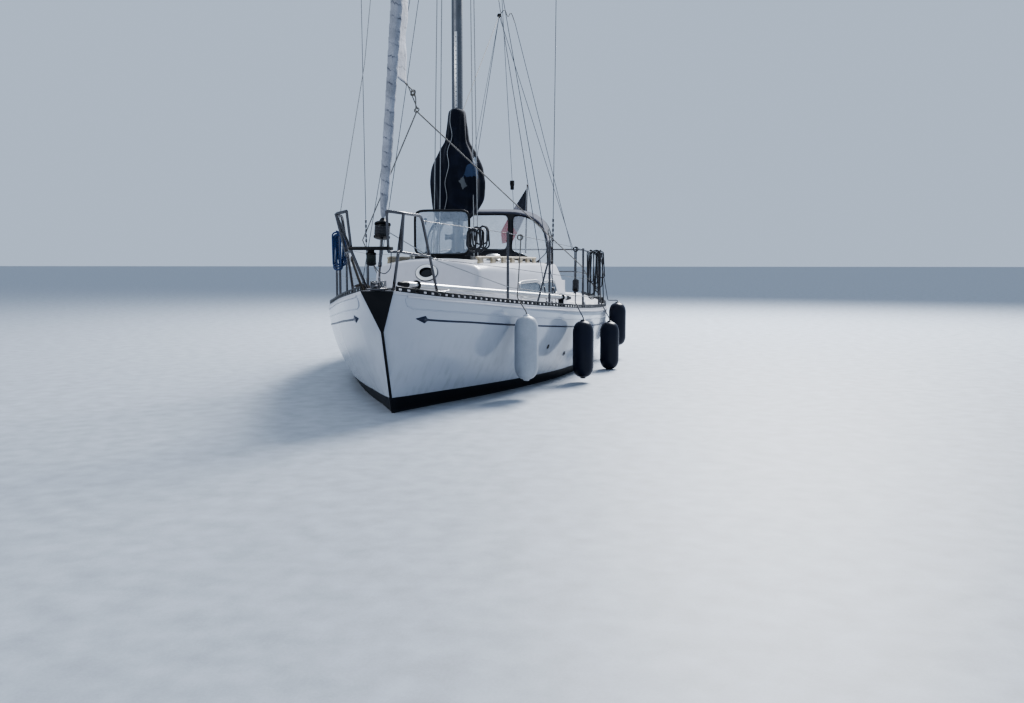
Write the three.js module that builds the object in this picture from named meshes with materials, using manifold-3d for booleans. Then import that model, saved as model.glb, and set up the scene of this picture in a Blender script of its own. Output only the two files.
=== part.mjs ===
// Sailing yacht, 9 m masthead sloop with fin keel, afloat with sails stowed.
// Millimetres, +X forward, +Y to port, +Z up, origin on the waterline amidships on the centreline.
// Lengthwise places are given as s, the distance aft of the stemhead.
import * as THREE from 'three';
import { mergeVertices } from 'three/addons/utils/BufferGeometryUtils.js';
import Module from 'manifold-3d';

const wasm = await Module();
wasm.setup();

// Driving dimensions
const LENGTH = 9000;
const STEM_X = LENGTH / 2;
const STEM_SHEER = 1042;
const GAP = 0.3;

// Hull: stem, deck edge and the mouldings that sit on it
const STEM_RAKE = 0.445;
const STEM_HALF_WIDTH = 12;
const WEDGE_HALF_WIDTH = 140;
const WEDGE_FOOT = 723;
const FACE_RAKE_END = 2000;
const RING_STEPS = 7;
const DECK_THICKNESS = 28;
const DECK_CAMBER = 45;
const TOE_RAIL_HEIGHT = 45;
const TOE_RAIL_WIDTH = 24;

// Cabin and cockpit
const ROOF_FRONT = 1780;
const ROOF_AFT = 6150;
const ROOF_WALL = 32;
const CABIN_SOLE = -240;
const COCKPIT_FRONT = 6200;
const COCKPIT_AFT = 7950;
const COCKPIT_HALF = 850;
const WELL_HALF = 300;
const SOLE_TOP = 330;
const SEAT_TOP = 700;
const LOCKER_HALF = 210;
const LOCKER_Y = 510;
const LOCKER_FRONT = 6450;
const LOCKER_AFT = 7350;
const LID_THICKNESS = 26;
const LID_CLEARANCE = 6;
const COAMING_TOP = 1010;
const COAMING_WIDTH = 110;
const COCKPIT_FLOOR = 300;
const WALL_CLEARANCE = 6;

// Engine: one block under the companionway
const ENGINE = { front: 5460, aft: 6000, half: 220, bottom: -395, top: 130 };

// Locker hinges along the lids' outboard edges
const LID_HINGES = [LOCKER_FRONT + 150, LOCKER_AFT - 150];
const HINGE_LENGTH = 50;
const HINGE_RADIUS = 7;
const HINGE_LEAF = 40;
const HINGE_Y = LOCKER_Y + LOCKER_HALF + LID_CLEARANCE;
const HINGE_Z = SEAT_TOP + 6;

// Fore hatch, stood open in front of the mast, and the sliding companionway hatch
const HATCH_S = 2640;
const HATCH_HALF = 300;
const HATCH_LENGTH = 480;
const HATCH_RIM = 34;
const HATCH_RIM_TOP = 1362;
const HATCH_LID = 22;
const HATCH_HINGES = [-170, 170];
const HATCH_BARREL = 6;
const COMPANION_HALF = 300;
const COMPANION_FRONT = 5580;
const SLIDE_THICKNESS = 24;

// Fin keel, skeg, rudder and propeller
const DRAUGHT = 1500;
const SKEG_FRONT = 7450;
const RUDDER_S = 8060;
const RUDDER_TOP = -215;
const RUDDER_FOOT = -1180;
const STOCK_RADIUS = 22;
const BEARING_CLEARANCE = 1;
const TILLER_TOP = 930;
const TILLER_LENGTH = 1120;
const PROP_S = 7180;
const PROP_Z = -640;
const PROP_RADIUS = 200;
const SHAFT_TILT = THREE.MathUtils.degToRad(9);

// Spars and standing rigging
const MAST_S = 3540;
const MAST_TOP = 12900;
const MAST_LONG = 75;
const MAST_HALF = 62;
const SPREADER_Z = 6900;
const SPREADER_REACH = 1130;
const WIRE = 4;
const GOOSENECK = { axis: 3700, lug: 8, nose: 30 };
const BOOM_Z = 1900;
const BOOM_LENGTH = 3350;
const BOOM_HEIGHT = 110;
const BOOM_WIDTH = 76;
const BOOM_RISE = THREE.MathUtils.degToRad(5.5);
const BOOM_SET = 9;

// Guardrails and bow
const RAIL_TUBE = 12.5;
const LIFELINE = 3;
const GUARD_HEIGHT = 680;
const GATE_BRACE = 2280;
const PUSHPIT_RISE = 34;
const PLANK_Z = 1397.9;

const COLOURS = {
  gelcoat: [0xe9edf0, 0.25, 0.0],
  deck: [0xe4e3dd, 0.5, 0.0],
  black: [0x111317, 0.45, 0.0],
  antifouling: [0x14171d, 0.7, 0.0],
  alloy: [0x9fa5ab, 0.4, 0.9],
  stainless: [0xc7ccd0, 0.2, 1.0],
  bronze: [0x9a7440, 0.35, 1.0],
  canvas: [0x1b2740, 0.9, 0.0],
  acrylic: [0xb9c6cc, 0.15, 0.0],
  teak: [0xa5713f, 0.6, 0.0],
  sailcloth: [0xd9dde2, 0.8, 0.0],
  navy: [0x1d2b4a, 0.5, 0.0],
  fender: [0xd8dbdd, 0.5, 0.0],
  rope: [0x1a1c22, 0.95, 0.0],
  blue_rope: [0x24549a, 0.9, 0.0],
  ensign: [0xa83240, 0.9, 0.0],
  iron: [0x5b6068, 0.6, 0.3],
};

const yacht = new THREE.Group();

const at = (s, y, z) => new THREE.Vector3(STEM_X - s, y, z);

function material(name) {
  const [color, roughness, metalness] = COLOURS[name];
  return new THREE.MeshStandardMaterial({ color, roughness, metalness });
}

// Closed mesh with shared corners, as a solid that can be joined and cut
function solid(geometry) {
  const bare = geometry.clone();
  for (const key of Object.keys(bare.attributes)) {
    if (key !== 'position') bare.deleteAttribute(key);
  }
  const merged = mergeVertices(bare, 0.001);
  return new wasm.Manifold(new wasm.Mesh({
    numProp: 3,
    vertProperties: new Float32Array(merged.attributes.position.array),
    triVerts: new Uint32Array(merged.index.array),
  }));
}

function geometryOf(shape) {
  const mesh = shape.getMesh();
  const geometry = new THREE.BufferGeometry();
  geometry.setAttribute('position', new THREE.BufferAttribute(mesh.vertProperties, 3));
  geometry.setIndex(new THREE.BufferAttribute(mesh.triVerts, 1));
  geometry.computeVertexNormals();
  return geometry;
}

function place(name, shape, colour, parent = yacht) {
  const geometry = shape.isBufferGeometry ? shape : geometryOf(shape);
  const mesh = new THREE.Mesh(geometry, material(colour));
  mesh.name = name;
  parent.add(mesh);
  return mesh;
}

const joined = (shapes) => shapes.reduce((whole, next) => whole.add(next));

const biggest = (shape) => shape.decompose().reduce((a, b) => (a.volume() > b.volume() ? a : b));

// Cut away another shape and a thin skin of air round it
function clearOf(shape, other) {
  const steps = [[0, 0, 0], [GAP, 0, 0], [-GAP, 0, 0], [0, GAP, 0], [0, -GAP, 0], [0, 0, GAP], [0, 0, -GAP]];
  return steps.reduce((rest, step) => rest.subtract(other.translate(step)), shape);
}

// Box between two opposite corners
function block([x0, y0, z0], [x1, y1, z1]) {
  const geometry = new THREE.BoxGeometry(Math.abs(x1 - x0), Math.abs(y1 - y0), Math.abs(z1 - z0));
  geometry.translate((x0 + x1) / 2, (y0 + y1) / 2, (z0 + z1) / 2);
  return solid(geometry);
}

// Box from a stretch of s, a half-breadth span and a height span
function bay(s0, s1, y0, y1, z0, z1) {
  return block([STEM_X - s1, y0, z0], [STEM_X - s0, y1, z1]);
}

// Round bar between two points
function rod(a, b, radius, sides = 8, tip = radius) {
  const along = b.clone().sub(a);
  const geometry = new THREE.CylinderGeometry(tip, radius, along.length(), sides);
  geometry.translate(0, along.length() / 2, 0);
  const up = new THREE.Vector3(0, 1, 0);
  geometry.applyQuaternion(new THREE.Quaternion().setFromUnitVectors(up, along.normalize()));
  geometry.translate(a.x, a.y, a.z);
  return solid(geometry);
}

// Bent tube along a smooth curve through points
function tube(points, radius, steps, sides = 8) {
  const section = new THREE.Shape();
  for (let i = 0; i <= sides; i++) {
    const turn = (i / sides) * 2 * Math.PI;
    const [x, y] = [radius * Math.cos(turn), radius * Math.sin(turn)];
    if (i === 0) section.moveTo(x, y);
    else section.lineTo(x, y);
  }
  const path = new THREE.CatmullRomCurve3(points, false, 'centripetal');
  return solid(new THREE.ExtrudeGeometry(section, { steps, extrudePath: path, curveSegments: 1 }));
}

// Flat plate: an outline in a plane, given a thickness; place turns it from XY into the world
function plate(outline, thickness, turn) {
  const shape = new THREE.Shape(outline.map(([x, y]) => new THREE.Vector2(x, y)));
  const geometry = new THREE.ExtrudeGeometry(shape, { depth: thickness, bevelEnabled: false });
  geometry.applyMatrix4(turn);
  return solid(geometry);
}

// Placement of an outline drawn in y and z that is extruded forward from s
function facing(s, z = 0) {
  const turn = new THREE.Matrix4().makeBasis(
    new THREE.Vector3(0, 1, 0), new THREE.Vector3(0, 0, 1), new THREE.Vector3(1, 0, 0));
  return turn.premultiply(new THREE.Matrix4().makeTranslation(STEM_X - s, 0, z));
}

// Outline drawn in s and z, extruded sideways between two half-breadths
function sidePlate(outline, y0, y1) {
  const turn = new THREE.Matrix4().makeRotationX(Math.PI / 2);
  turn.premultiply(new THREE.Matrix4().makeTranslation(0, y1, 0));
  return plate(outline.map(([s, z]) => [STEM_X - s, z]), y1 - y0, turn);
}

// Skin through rings with the same number of points, closed by flat ends
function loft(rings) {
  const count = rings[0].length;
  const corners = rings.flat().flatMap((p) => [p.x, p.y, p.z]);
  const faces = [];
  for (let r = 0; r + 1 < rings.length; r++) {
    for (let i = 0; i < count; i++) {
      const a = r * count + i;
      const b = r * count + ((i + 1) % count);
      faces.push(a, b, a + count, b, b + count, a + count);
    }
  }
  capEnd(rings[0], 0, faces, false);
  capEnd(rings[rings.length - 1], (rings.length - 1) * count, faces, true);
  const geometry = new THREE.BufferGeometry();
  geometry.setAttribute('position', new THREE.BufferAttribute(new Float32Array(corners), 3));
  geometry.setIndex(faces);
  const shape = solid(geometry);
  if (shape.volume() >= 0) return shape;
  for (let f = 0; f < faces.length; f += 3) [faces[f + 1], faces[f + 2]] = [faces[f + 2], faces[f + 1]];
  geometry.setIndex(faces);
  return solid(geometry);
}

// Fan of triangles over a ring, as seen in the plane that the ring faces most
function capEnd(ring, first, faces, far) {
  const flat = ring.map((p) => new THREE.Vector2(p.y, p.z));
  const upright = Math.abs(THREE.ShapeUtils.area(flat)) > 1;
  const seen = upright ? flat : ring.map((p) => new THREE.Vector2(p.x, p.y));
  const around = THREE.ShapeUtils.area(seen) > 0;
  for (const [a, b, c] of THREE.ShapeUtils.triangulateShape(seen, [])) {
    if (around === far) faces.push(first + a, first + b, first + c);
    else faces.push(first + a, first + c, first + b);
  }
}

// Hull form. Columns: s at the deck edge, half-beam and height of the deck edge, height of the
// canoe body's bottom, and fullness (1 is a V section, 2 an ellipse)
const STATIONS = [
  [0, 140, STEM_SHEER, -120, 1.0],
  [450, 400, 985, -240, 1.15],
  [950, 625, 938, -330, 1.3],
  [1500, 840, 888, -400, 1.5],
  [2400, 1170, 818, -480, 1.75],
  [3500, 1440, 750, -540, 2.0],
  [5000, 1600, 700, -560, 2.15],
  [6400, 1560, 686, -480, 2.1],
  [7600, 1390, 702, -290, 1.95],
  [8400, 1200, 726, -60, 1.85],
  [9000, 1020, 752, 140, 1.75],
];

// Value of one column at any s, on a smooth curve through the stations
function column(index, s) {
  let k = 0;
  while (k < STATIONS.length - 2 && s > STATIONS[k + 1][0]) k++;
  const row = (i) => STATIONS[Math.max(0, Math.min(STATIONS.length - 1, i))];
  const [a, b] = [row(k), row(k + 1)];
  const span = b[0] - a[0];
  const t = (s - a[0]) / span;
  const slopeAt = (i) => {
    const [p, q] = [row(i - 1), row(i + 1)];
    return (q[index] - p[index]) / (q[0] - p[0]);
  };
  const [m0, m1] = [slopeAt(k) * span, slopeAt(k + 1) * span];
  const [t2, t3] = [t * t, t * t * t];
  return (2 * t3 - 3 * t2 + 1) * a[index] + (t3 - 2 * t2 + t) * m0
    + (3 * t2 - 2 * t3) * b[index] + (t3 - t2) * m1;
}

const beamAt = (s) => column(1, s);
const sheerAt = (s) => column(2, s);

// The stem's rake dies out over the first two metres
const rakeAt = (s) => STEM_RAKE * Math.max(0, 1 - s / FACE_RAKE_END) ** 2;

// Half-breadth of the blunt stem face at a height
function stemHalf(z) {
  const rise = Math.min(1, Math.max(0, (z - WEDGE_FOOT) / (STEM_SHEER - WEDGE_FOOT)));
  return STEM_HALF_WIDTH + rise * (WEDGE_HALF_WIDTH - STEM_HALF_WIDTH);
}

// One hull section, from the starboard deck edge round the bottom to the port one
function hullRing(s, inset = 0, floor = -Infinity, top = null) {
  const [beam, sheer, bottom, fullness] = [1, 2, 3, 4].map((i) => column(i, s));
  const half = [];
  for (let j = 0; j <= RING_STEPS; j++) {
    const turn = (j / RING_STEPS) * (Math.PI / 2);
    const z = sheer - (sheer - bottom) * Math.cos(turn) ** (2 / fullness);
    const y = s === 0 ? stemHalf(z) : beam * Math.sin(turn) ** (2 / fullness);
    half.push([Math.max(STEM_HALF_WIDTH, y - inset), Math.max(z, floor)]);
  }
  if (top !== null) half.push([half[half.length - 1][0], sheer + top]);
  const point = ([y, z], side) => at(s + rakeAt(s) * (sheer - z), side * y, z);
  return [...half.map((p) => point(p, -1)).reverse(), ...half.map((p) => point(p, 1))];
}

// Places along the hull: the stations with one more between each two
const PLACES = STATIONS.flatMap(([s], i) => (i ? [(s + STATIONS[i - 1][0]) / 2, s] : [s]));

const placesBetween = (from, to) => [from, ...PLACES.filter((s) => s > from && s < to), to];

// Deck surface: height of the cambered deck at a breadth
const DECK_FRACTIONS = [-1, -0.75, -0.4, 0, 0.4, 0.75, 1];

function deckZ(s, fraction) {
  const camber = DECK_CAMBER * (beamAt(s) / beamAt(5000)) * (1 - fraction ** 2);
  return sheerAt(s) + GAP + DECK_THICKNESS + camber;
}

function deckRing(s) {
  const beam = beamAt(s);
  const top = DECK_FRACTIONS.map((f) => at(s, f * beam, deckZ(s, f)));
  const bottom = [1, -1].map((side) => at(s, side * beam, sheerAt(s) + GAP));
  return [...top, ...bottom];
}

const deckPlate = loft(PLACES.map(deckRing));

// Coachroof. Columns: s, half-breadth at the deck, half-breadth and height of the knuckle,
// half-breadth and height of the roof edge, height of the crown
const ROOF = [
  [ROOF_FRONT, 500, 488, 1000, 440, 1015, 1035],
  [1930, 570, 520, 1225, 470, 1265, 1325],
  [2200, 640, 580, 1238, 525, 1275, 1335],
  [3000, 790, 715, 1212, 650, 1275, 1337],
  [4300, 930, 830, 1160, 770, 1272, 1335],
  [5300, 1010, 900, 1130, 838, 1268, 1330],
  [ROOF_AFT, 1060, 940, 1112, 870, 1262, 1325],
];
const ROOF_FRACTIONS = [-1, -0.8, -0.4, 0, 0.4, 0.8, 1];

// Height of the cambered roof on one row of the table at a half-breadth
function camber([, , , , edge, edgeZ, crown], y) {
  return edgeZ + (crown - edgeZ) * (1 - (y / edge) ** 2);
}

function roofRing(row, inset, drop, footZ) {
  const [s, foot, knuckle, knuckleZ, edge] = row;
  const side = (sign) => [
    at(s, sign * (foot - inset), footZ(s)),
    at(s, sign * (knuckle - inset), knuckleZ - drop / 2),
  ];
  const top = ROOF_FRACTIONS.map((f) => at(s, f * (edge - inset), camber(row, f * edge) - drop));
  return [...side(-1), ...top, ...side(1).reverse()];
}

// Row of the roof table at any s, on straight lines between its rows
function roofRow(s) {
  const last = ROOF.findIndex((row) => row[0] >= s);
  const [a, b] = [ROOF[Math.max(0, last - 1)], ROOF[Math.max(1, last)]];
  const t = (s - a[0]) / (b[0] - a[0]);
  return a.map((value, i) => value + t * (b[i] - value));
}

const ROOF_SINK = 6;
const HOLLOW_FRONT = 1965;
const HOLLOW_SINK = 60;
const roofOuter = loft(ROOF.map((row) => roofRing(row, 0, 0, (s) => sheerAt(s) + ROOF_SINK)));
const hollowRows = [HOLLOW_FRONT, 2200, 3000, 4300, 5300, ROOF_AFT - ROOF_WALL].map(roofRow);
const roofInner = loft(hollowRows.map((row) => (
  roofRing(row, ROOF_WALL, ROOF_WALL, (s) => sheerAt(s) - HOLLOW_SINK))));

// Rounded rectangle outline between two corners
function rounded(x0, x1, y0, y1, radius) {
  const points = [];
  const corners = [[x1, y1, 0], [x0, y1, 1], [x0, y0, 2], [x1, y0, 3]];
  for (const [x, y, quarter] of corners) {
    for (let i = 0; i <= 3; i++) {
      const turn = (quarter + i / 3) * (Math.PI / 2);
      const inward = [x === x1 ? -radius : radius, y === y1 ? -radius : radius];
      points.push([x + inward[0] + radius * Math.cos(turn), y + inward[1] + radius * Math.sin(turn)]);
    }
  }
  return points;
}

// Side windows. Columns: name, s of both ends, bottom and top
const SIDE_WINDOWS = [
  ['fore', 3150, 4250, 905, 1060],
  ['aft', 4400, 5350, 890, 1040],
];
const WINDOW_CORNER = 60;
const WINDOW_REACH = [560, 1150];
const PORTLIGHT = { half: 97, height: 126, z: 1193, s: 2000, sides: 20 };
const CUT_TOP = 1600;

function windowCut([, s0, s1, z0, z1], side, shrink) {
  const outline = rounded(s0 + shrink, s1 - shrink, z0 + shrink, z1 - shrink, WINDOW_CORNER);
  const [inner, outer] = WINDOW_REACH;
  return side > 0 ? sidePlate(outline, inner, outer) : sidePlate(outline, -outer, -inner);
}

// Oval cut through the raked front of the coachroof
function portlightCut(shrink) {
  const outline = [];
  for (let i = 0; i < PORTLIGHT.sides; i++) {
    const angle = (i / PORTLIGHT.sides) * 2 * Math.PI;
    const reach = [PORTLIGHT.half - shrink, PORTLIGHT.height / 2 - shrink];
    outline.push([reach[0] * Math.cos(angle), reach[1] * Math.sin(angle)]);
  }
  return plate(outline, PORTLIGHT.s - ROOF_FRONT, facing(PORTLIGHT.s, PORTLIGHT.z));
}

const hatchHole = bay(HATCH_S + HATCH_RIM, HATCH_S + HATCH_LENGTH - HATCH_RIM,
  -(HATCH_HALF - HATCH_RIM), HATCH_HALF - HATCH_RIM, 1150, CUT_TOP);
const COMPANION_SILL = 860;
const companionHole = bay(COMPANION_FRONT, ROOF_AFT + 50, -COMPANION_HALF, COMPANION_HALF,
  COMPANION_SILL, CUT_TOP);

// Room for the cockpit moulding from a height up
function cockpitRoom(bottom) {
  const half = COCKPIT_HALF + GAP;
  return bay(COCKPIT_FRONT - GAP, COCKPIT_AFT + GAP, -half, half, bottom, CUT_TOP);
}

const sides = [['port', 1], ['starboard', -1]];
const roofWalls = roofOuter.subtract(roofInner);

// What stands on the deck is cut by the deck raised by the gap
const raisedDeck = deckPlate.add(roofOuter).translate([0, 0, GAP]);
const seated = (shape) => shape.subtract(raisedDeck);

function addHull() {
  const cabin = loft(placesBetween(2150, 6050).map((s) => hullRing(s, 70, CABIN_SOLE, HOLLOW_SINK)));
  const engineRoom = bay(5440, 6020, -250, 250, ENGINE.bottom - GAP, CABIN_SOLE + 20);
  const stockBore = rod(at(RUDDER_S, 0, -600), at(RUDDER_S, 0, 1000), STOCK_RADIUS + WALL_CLEARANCE, 16);
  const room = joined([cabin, engineRoom, cockpitRoom(COCKPIT_FLOOR - GAP), stockBore]);
  const hull = loft(PLACES.map((s) => hullRing(s))).subtract(room);
  place('hull', hull, 'gelcoat');
  return hull;
}

function addDeck() {
  const stockBore = rod(at(RUDDER_S, 0, 600), at(RUDDER_S, 0, 1000), STOCK_RADIUS + BEARING_CLEARANCE, 16);
  const openings = joined([roofInner, cockpitRoom(COCKPIT_FLOOR), stockBore]);
  place('deck', deckPlate.subtract(openings), 'deck');
}

function addCoachroof() {
  const panes = SIDE_WINDOWS.flatMap((row) => sides.map(([, side]) => windowCut(row, side, 0)));
  const openings = joined([...panes, portlightCut(0), hatchHole, companionHole]);
  const roof = roofWalls.subtract(openings).subtract(deckPlate.translate([0, 0, GAP]));
  place('coachroof', roof, 'deck');
}

function addPanes() {
  for (const row of SIDE_WINDOWS) {
    for (const [name, side] of sides) {
      place(`window_${row[0]}_${name}`, roofWalls.intersect(windowCut(row, side, GAP)), 'acrylic');
    }
  }
  place('portlight', roofWalls.intersect(portlightCut(GAP)), 'acrylic');
}

function addStemGuard() {
  const face = (z, out) => at(STEM_RAKE * (STEM_SHEER - z) - out, 0, z);
  const heights = [STEM_SHEER + DECK_THICKNESS - 1, WEDGE_FOOT, 20];
  const ring = (z) => {
    const half = stemHalf(z) - 1;
    return [face(z, 12), face(z, GAP)].flatMap((p, i) => {
      const left = new THREE.Vector3(p.x, -half, p.z);
      const right = new THREE.Vector3(p.x, half, p.z);
      return i ? [right, left] : [left, right];
    });
  };
  place('stem_guard', loft(heights.map(ring)), 'black');
}

// Fin keel and skeg as tapered foils. Columns: z, s of the leading edge, chord, half-thickness
const FIN = [
  [-440, 3350, 1500, 95],
  [-DRAUGHT, 3950, 1000, 75],
];
const SKEG = [
  [-180, SKEG_FRONT, 560, 36],
  [-900, 7760, 262, 26],
];
const FOIL = [[0, 0.02], [0.06, 0.55], [0.25, 1], [0.5, 0.92], [0.8, 0.45], [1, 0.06]];

function foilRing([z, lead, chord, half]) {
  const port = FOIL.map(([f, w]) => at(lead + f * chord, w * half, z));
  const starboard = FOIL.map(([f, w]) => at(lead + f * chord, -w * half, z)).reverse();
  return [...port, ...starboard];
}

function addKeels(hull) {
  const under = hull.translate([0, 0, -GAP]);
  place('fin_keel', loft(FIN.map(foilRing)).subtract(under), 'antifouling');
  place('rudder_skeg', loft(SKEG.map(foilRing)).subtract(under), 'antifouling');
}

function addEngine() {
  const { front, aft, half, bottom, top } = ENGINE;
  place('engine', bay(front, aft, -half, half, bottom, top), 'iron');
}

// Cockpit moulding: well, seats with two lockers, and coamings
function addCockpit() {
  const edge = COCKPIT_HALF - COAMING_WIDTH;
  let tub = bay(COCKPIT_FRONT, COCKPIT_AFT, -COCKPIT_HALF, COCKPIT_HALF, COCKPIT_FLOOR, COAMING_TOP);
  tub = tub.subtract(bay(COCKPIT_FRONT - 10, COCKPIT_AFT + 10, -edge, edge, SEAT_TOP, 2000));
  tub = tub.subtract(bay(COCKPIT_FRONT + 60, COCKPIT_AFT - 60, -WELL_HALF, WELL_HALF, SOLE_TOP, 2000));
  for (const [, side] of sides) {
    const [a, b] = lidSpan(side, LID_CLEARANCE);
    tub = tub.subtract(bay(LOCKER_FRONT - LID_CLEARANCE, LOCKER_AFT + LID_CLEARANCE, a, b,
      SEAT_TOP - LID_THICKNESS - LID_CLEARANCE, SEAT_TOP + 5));
    const [c, d] = lidSpan(side, -22);
    tub = tub.subtract(bay(LOCKER_FRONT + 22, LOCKER_AFT - 22, c, d, SOLE_TOP + 20, SEAT_TOP));
  }
  for (const [, side] of sides) {
    for (const s of LID_HINGES) {
      tub = tub.subtract(hingeBarrel(s, side, GAP, GAP));
      for (const shift of [-1, 1]) {
        tub = tub.add(hingeBarrel(s + shift * (HINGE_LENGTH + GAP), side, 0, 0));
      }
    }
  }
  place('cockpit_moulding', tub, 'deck');
}

// Barrel with the leaf that ties it to the lid
function hingeLeaf(s, side) {
  const [a, b] = side > 0 ? [HINGE_Y - HINGE_LEAF, HINGE_Y] : [-HINGE_Y, HINGE_LEAF - HINGE_Y];
  const half = HINGE_LENGTH / 2;
  return [hingeBarrel(s, side, 0, 0), bay(s - half, s + half, a, b, SEAT_TOP - 1, SEAT_TOP + 3)];
}

function hingeBarrel(s, side, grow, longer) {
  const y = side * HINGE_Y;
  const half = HINGE_LENGTH / 2 + longer;
  return rod(at(s - half, y, HINGE_Z), at(s + half, y, HINGE_Z), HINGE_RADIUS + grow, 12);
}

// Half-breadths of a locker lid, grown by a margin
function lidSpan(side, grow) {
  const [inner, outer] = [LOCKER_Y - LOCKER_HALF - grow, LOCKER_Y + LOCKER_HALF + grow];
  return side > 0 ? [inner, outer] : [-outer, -inner];
}

function addLockerLids() {
  for (const [name, side] of sides) {
    const [a, b] = lidSpan(side, 0);
    const lid = bay(LOCKER_FRONT, LOCKER_AFT, a, b, SEAT_TOP - LID_THICKNESS, SEAT_TOP);
    place(`locker_lid_${name}`, joined([lid, ...LID_HINGES.flatMap((s) => hingeLeaf(s, side))]), 'deck');
  }
}

function addToeRails() {
  for (const [name, side] of sides) {
    const ring = (s) => {
      const outer = beamAt(s) - 6;
      const [low, high] = [deckZ(s, 1) - 8, deckZ(s, 1) + TOE_RAIL_HEIGHT];
      return [[outer, low], [outer, high], [outer - 8, high], [outer - 8, low + 22],
        [outer - TOE_RAIL_WIDTH, low + 22], [outer - TOE_RAIL_WIDTH, low]].map(([y, z]) => at(s, side * y, z));
    };
    place(`toe_rail_${name}`, seated(loft(placesBetween(100, 8900).map(ring))), 'black');
  }
}

// Fore hatch: frame on the roof, lid stood upright on its forward hinge
function addForeHatch() {
  const rimTop = HATCH_RIM_TOP;
  const outer = bay(HATCH_S, HATCH_S + HATCH_LENGTH, -HATCH_HALF, HATCH_HALF, 1180, rimTop);
  const inner = bay(HATCH_S + HATCH_RIM + 4, HATCH_S + HATCH_LENGTH - HATCH_RIM - 4,
    -(HATCH_HALF - HATCH_RIM - 4), HATCH_HALF - HATCH_RIM - 4, 1100, 1600);
  const lugs = [];
  for (const y of HATCH_HINGES) {
    for (const shift of [-1, 1]) {
      const middle = y + shift * (HINGE_LENGTH + GAP);
      const [a, b] = [middle - HINGE_LENGTH / 2, middle + HINGE_LENGTH / 2];
      lugs.push(bay(HATCH_S, HATCH_S + 14, a, b, rimTop - 8, rimTop + LID_CLEARANCE - GAP));
    }
  }
  const barrels = HATCH_HINGES.map((y) => hatchBarrel(y, GAP));
  const frame = seated(joined([outer.subtract(inner), ...lugs])).subtract(joined(barrels));
  place('fore_hatch_frame', frame, 'black');
  const outline = rounded(-HATCH_HALF, HATCH_HALF, 0, HATCH_LENGTH, 55);
  const lid = plate(outline, HATCH_LID, facing(HATCH_S, rimTop + LID_CLEARANCE));
  place('fore_hatch_lid', joined([lid, ...HATCH_HINGES.map((y) => hatchBarrel(y, 0))]), 'acrylic');
}

// Barrel of the fore hatch's hinge, on the lower aft edge of the open lid
function hatchBarrel(y, grow) {
  const z = HATCH_RIM_TOP + LID_CLEARANCE;
  const half = HINGE_LENGTH / 2 + grow;
  return rod(at(HATCH_S, y - half, z), at(HATCH_S, y + half, z), HATCH_BARREL + grow, 12);
}

// Sliding companionway hatch between two runners
const RUNNER_INNER = COMPANION_HALF + 34;
const RUNNER_WIDTH = 26;
const SLIDE_TRAVEL = 370;
const SLIDE_Z = 1345;

function addCompanionway() {
  const aft = ROOF_AFT - 10;
  for (const [name, side] of sides) {
    const [a, b] = [RUNNER_INNER, RUNNER_INNER + RUNNER_WIDTH].map((y) => side * y).sort((p, q) => p - q);
    const runner = bay(COMPANION_FRONT - SLIDE_TRAVEL, aft, a, b, 1200, SLIDE_Z + 30);
    place(`hatch_runner_${name}`, seated(runner), 'teak');
  }
  const half = RUNNER_INNER - GAP;
  const slide = bay(COMPANION_FRONT - 20, aft, -half, half, SLIDE_Z, SLIDE_Z + SLIDE_THICKNESS);
  place('sliding_hatch', slide, 'deck');
}

// Bar boards that close the companionway
function addWashboards() {
  const half = COMPANION_HALF - GAP;
  const boards = bay(ROOF_AFT - 26, ROOF_AFT - 8, -half, half, COMPANION_SILL + GAP, 1280);
  place('washboards', boards, 'teak');
}

// Pulpit: two halves of bent tube with a plank between them
const PULPIT_RAIL = [[-300, 160, 1700], [-215, 275, 1685], [150, 335, 1680]];
const PULPIT_FOOT = { inner: [100, 105], outer: [610, 375] };
const PULPIT_MID = [[-215, 150, 1385], [-110, 230, 1382], [345, 358, 1350]];

function addPulpit() {
  const halves = {};
  for (const [name, side] of sides) {
    const p = ([s, y, z]) => at(s, side * y, z);
    const foot = ([s, y]) => at(s, side * y, deckZ(s, y / beamAt(s)) - 8);
    const rail = [...PULPIT_RAIL.map(p), foot(PULPIT_FOOT.outer)];
    const bars = [
      tube([rail[0], rail[1]], RAIL_TUBE, 4),
      tube([rail[1], rail[2]], RAIL_TUBE, 6),
      tube([rail[2], rail[3]], RAIL_TUBE, 6),
      rod(foot(PULPIT_FOOT.inner), rail[1], RAIL_TUBE),
      rod(p(PULPIT_MID[0]), p(PULPIT_MID[1]), RAIL_TUBE),
      rod(p(PULPIT_MID[1]), p(PULPIT_MID[2]), RAIL_TUBE),
      rod(p(PULPIT_MID[1]), p(PULPIT_RAIL[1]), RAIL_TUBE),
      rod(foot(PULPIT_FOOT.inner), foot(PULPIT_FOOT.inner).add(new THREE.Vector3(0, 0, 20)), 28, 10),
      rod(foot(PULPIT_FOOT.outer), foot(PULPIT_FOOT.outer).add(new THREE.Vector3(0, 0, 20)), 28, 10),
    ];
    halves[name] = seated(joined(bars));
    place(`pulpit_${name}`, halves[name], 'stainless');
  }
  place('bow_plank', bay(-260, -110, -165, 165, PLANK_Z, PLANK_Z + 28), 'black');
  return halves;
}

// Lantern under the plank: bracket and a round body with a cap
function addBowLight() {
  const z = PLANK_Z - GAP;
  const body = [[0, 26], [20, 26], [22, 40], [112, 40], [116, 30], [126, 26]];
  const bars = body.slice(1).map(([drop, radius], i) => (
    rod(at(-180, 0, z - drop), at(-180, 0, z - body[i][0]), radius, 16)));
  place('bow_light', joined(bars), 'black');
}

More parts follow.
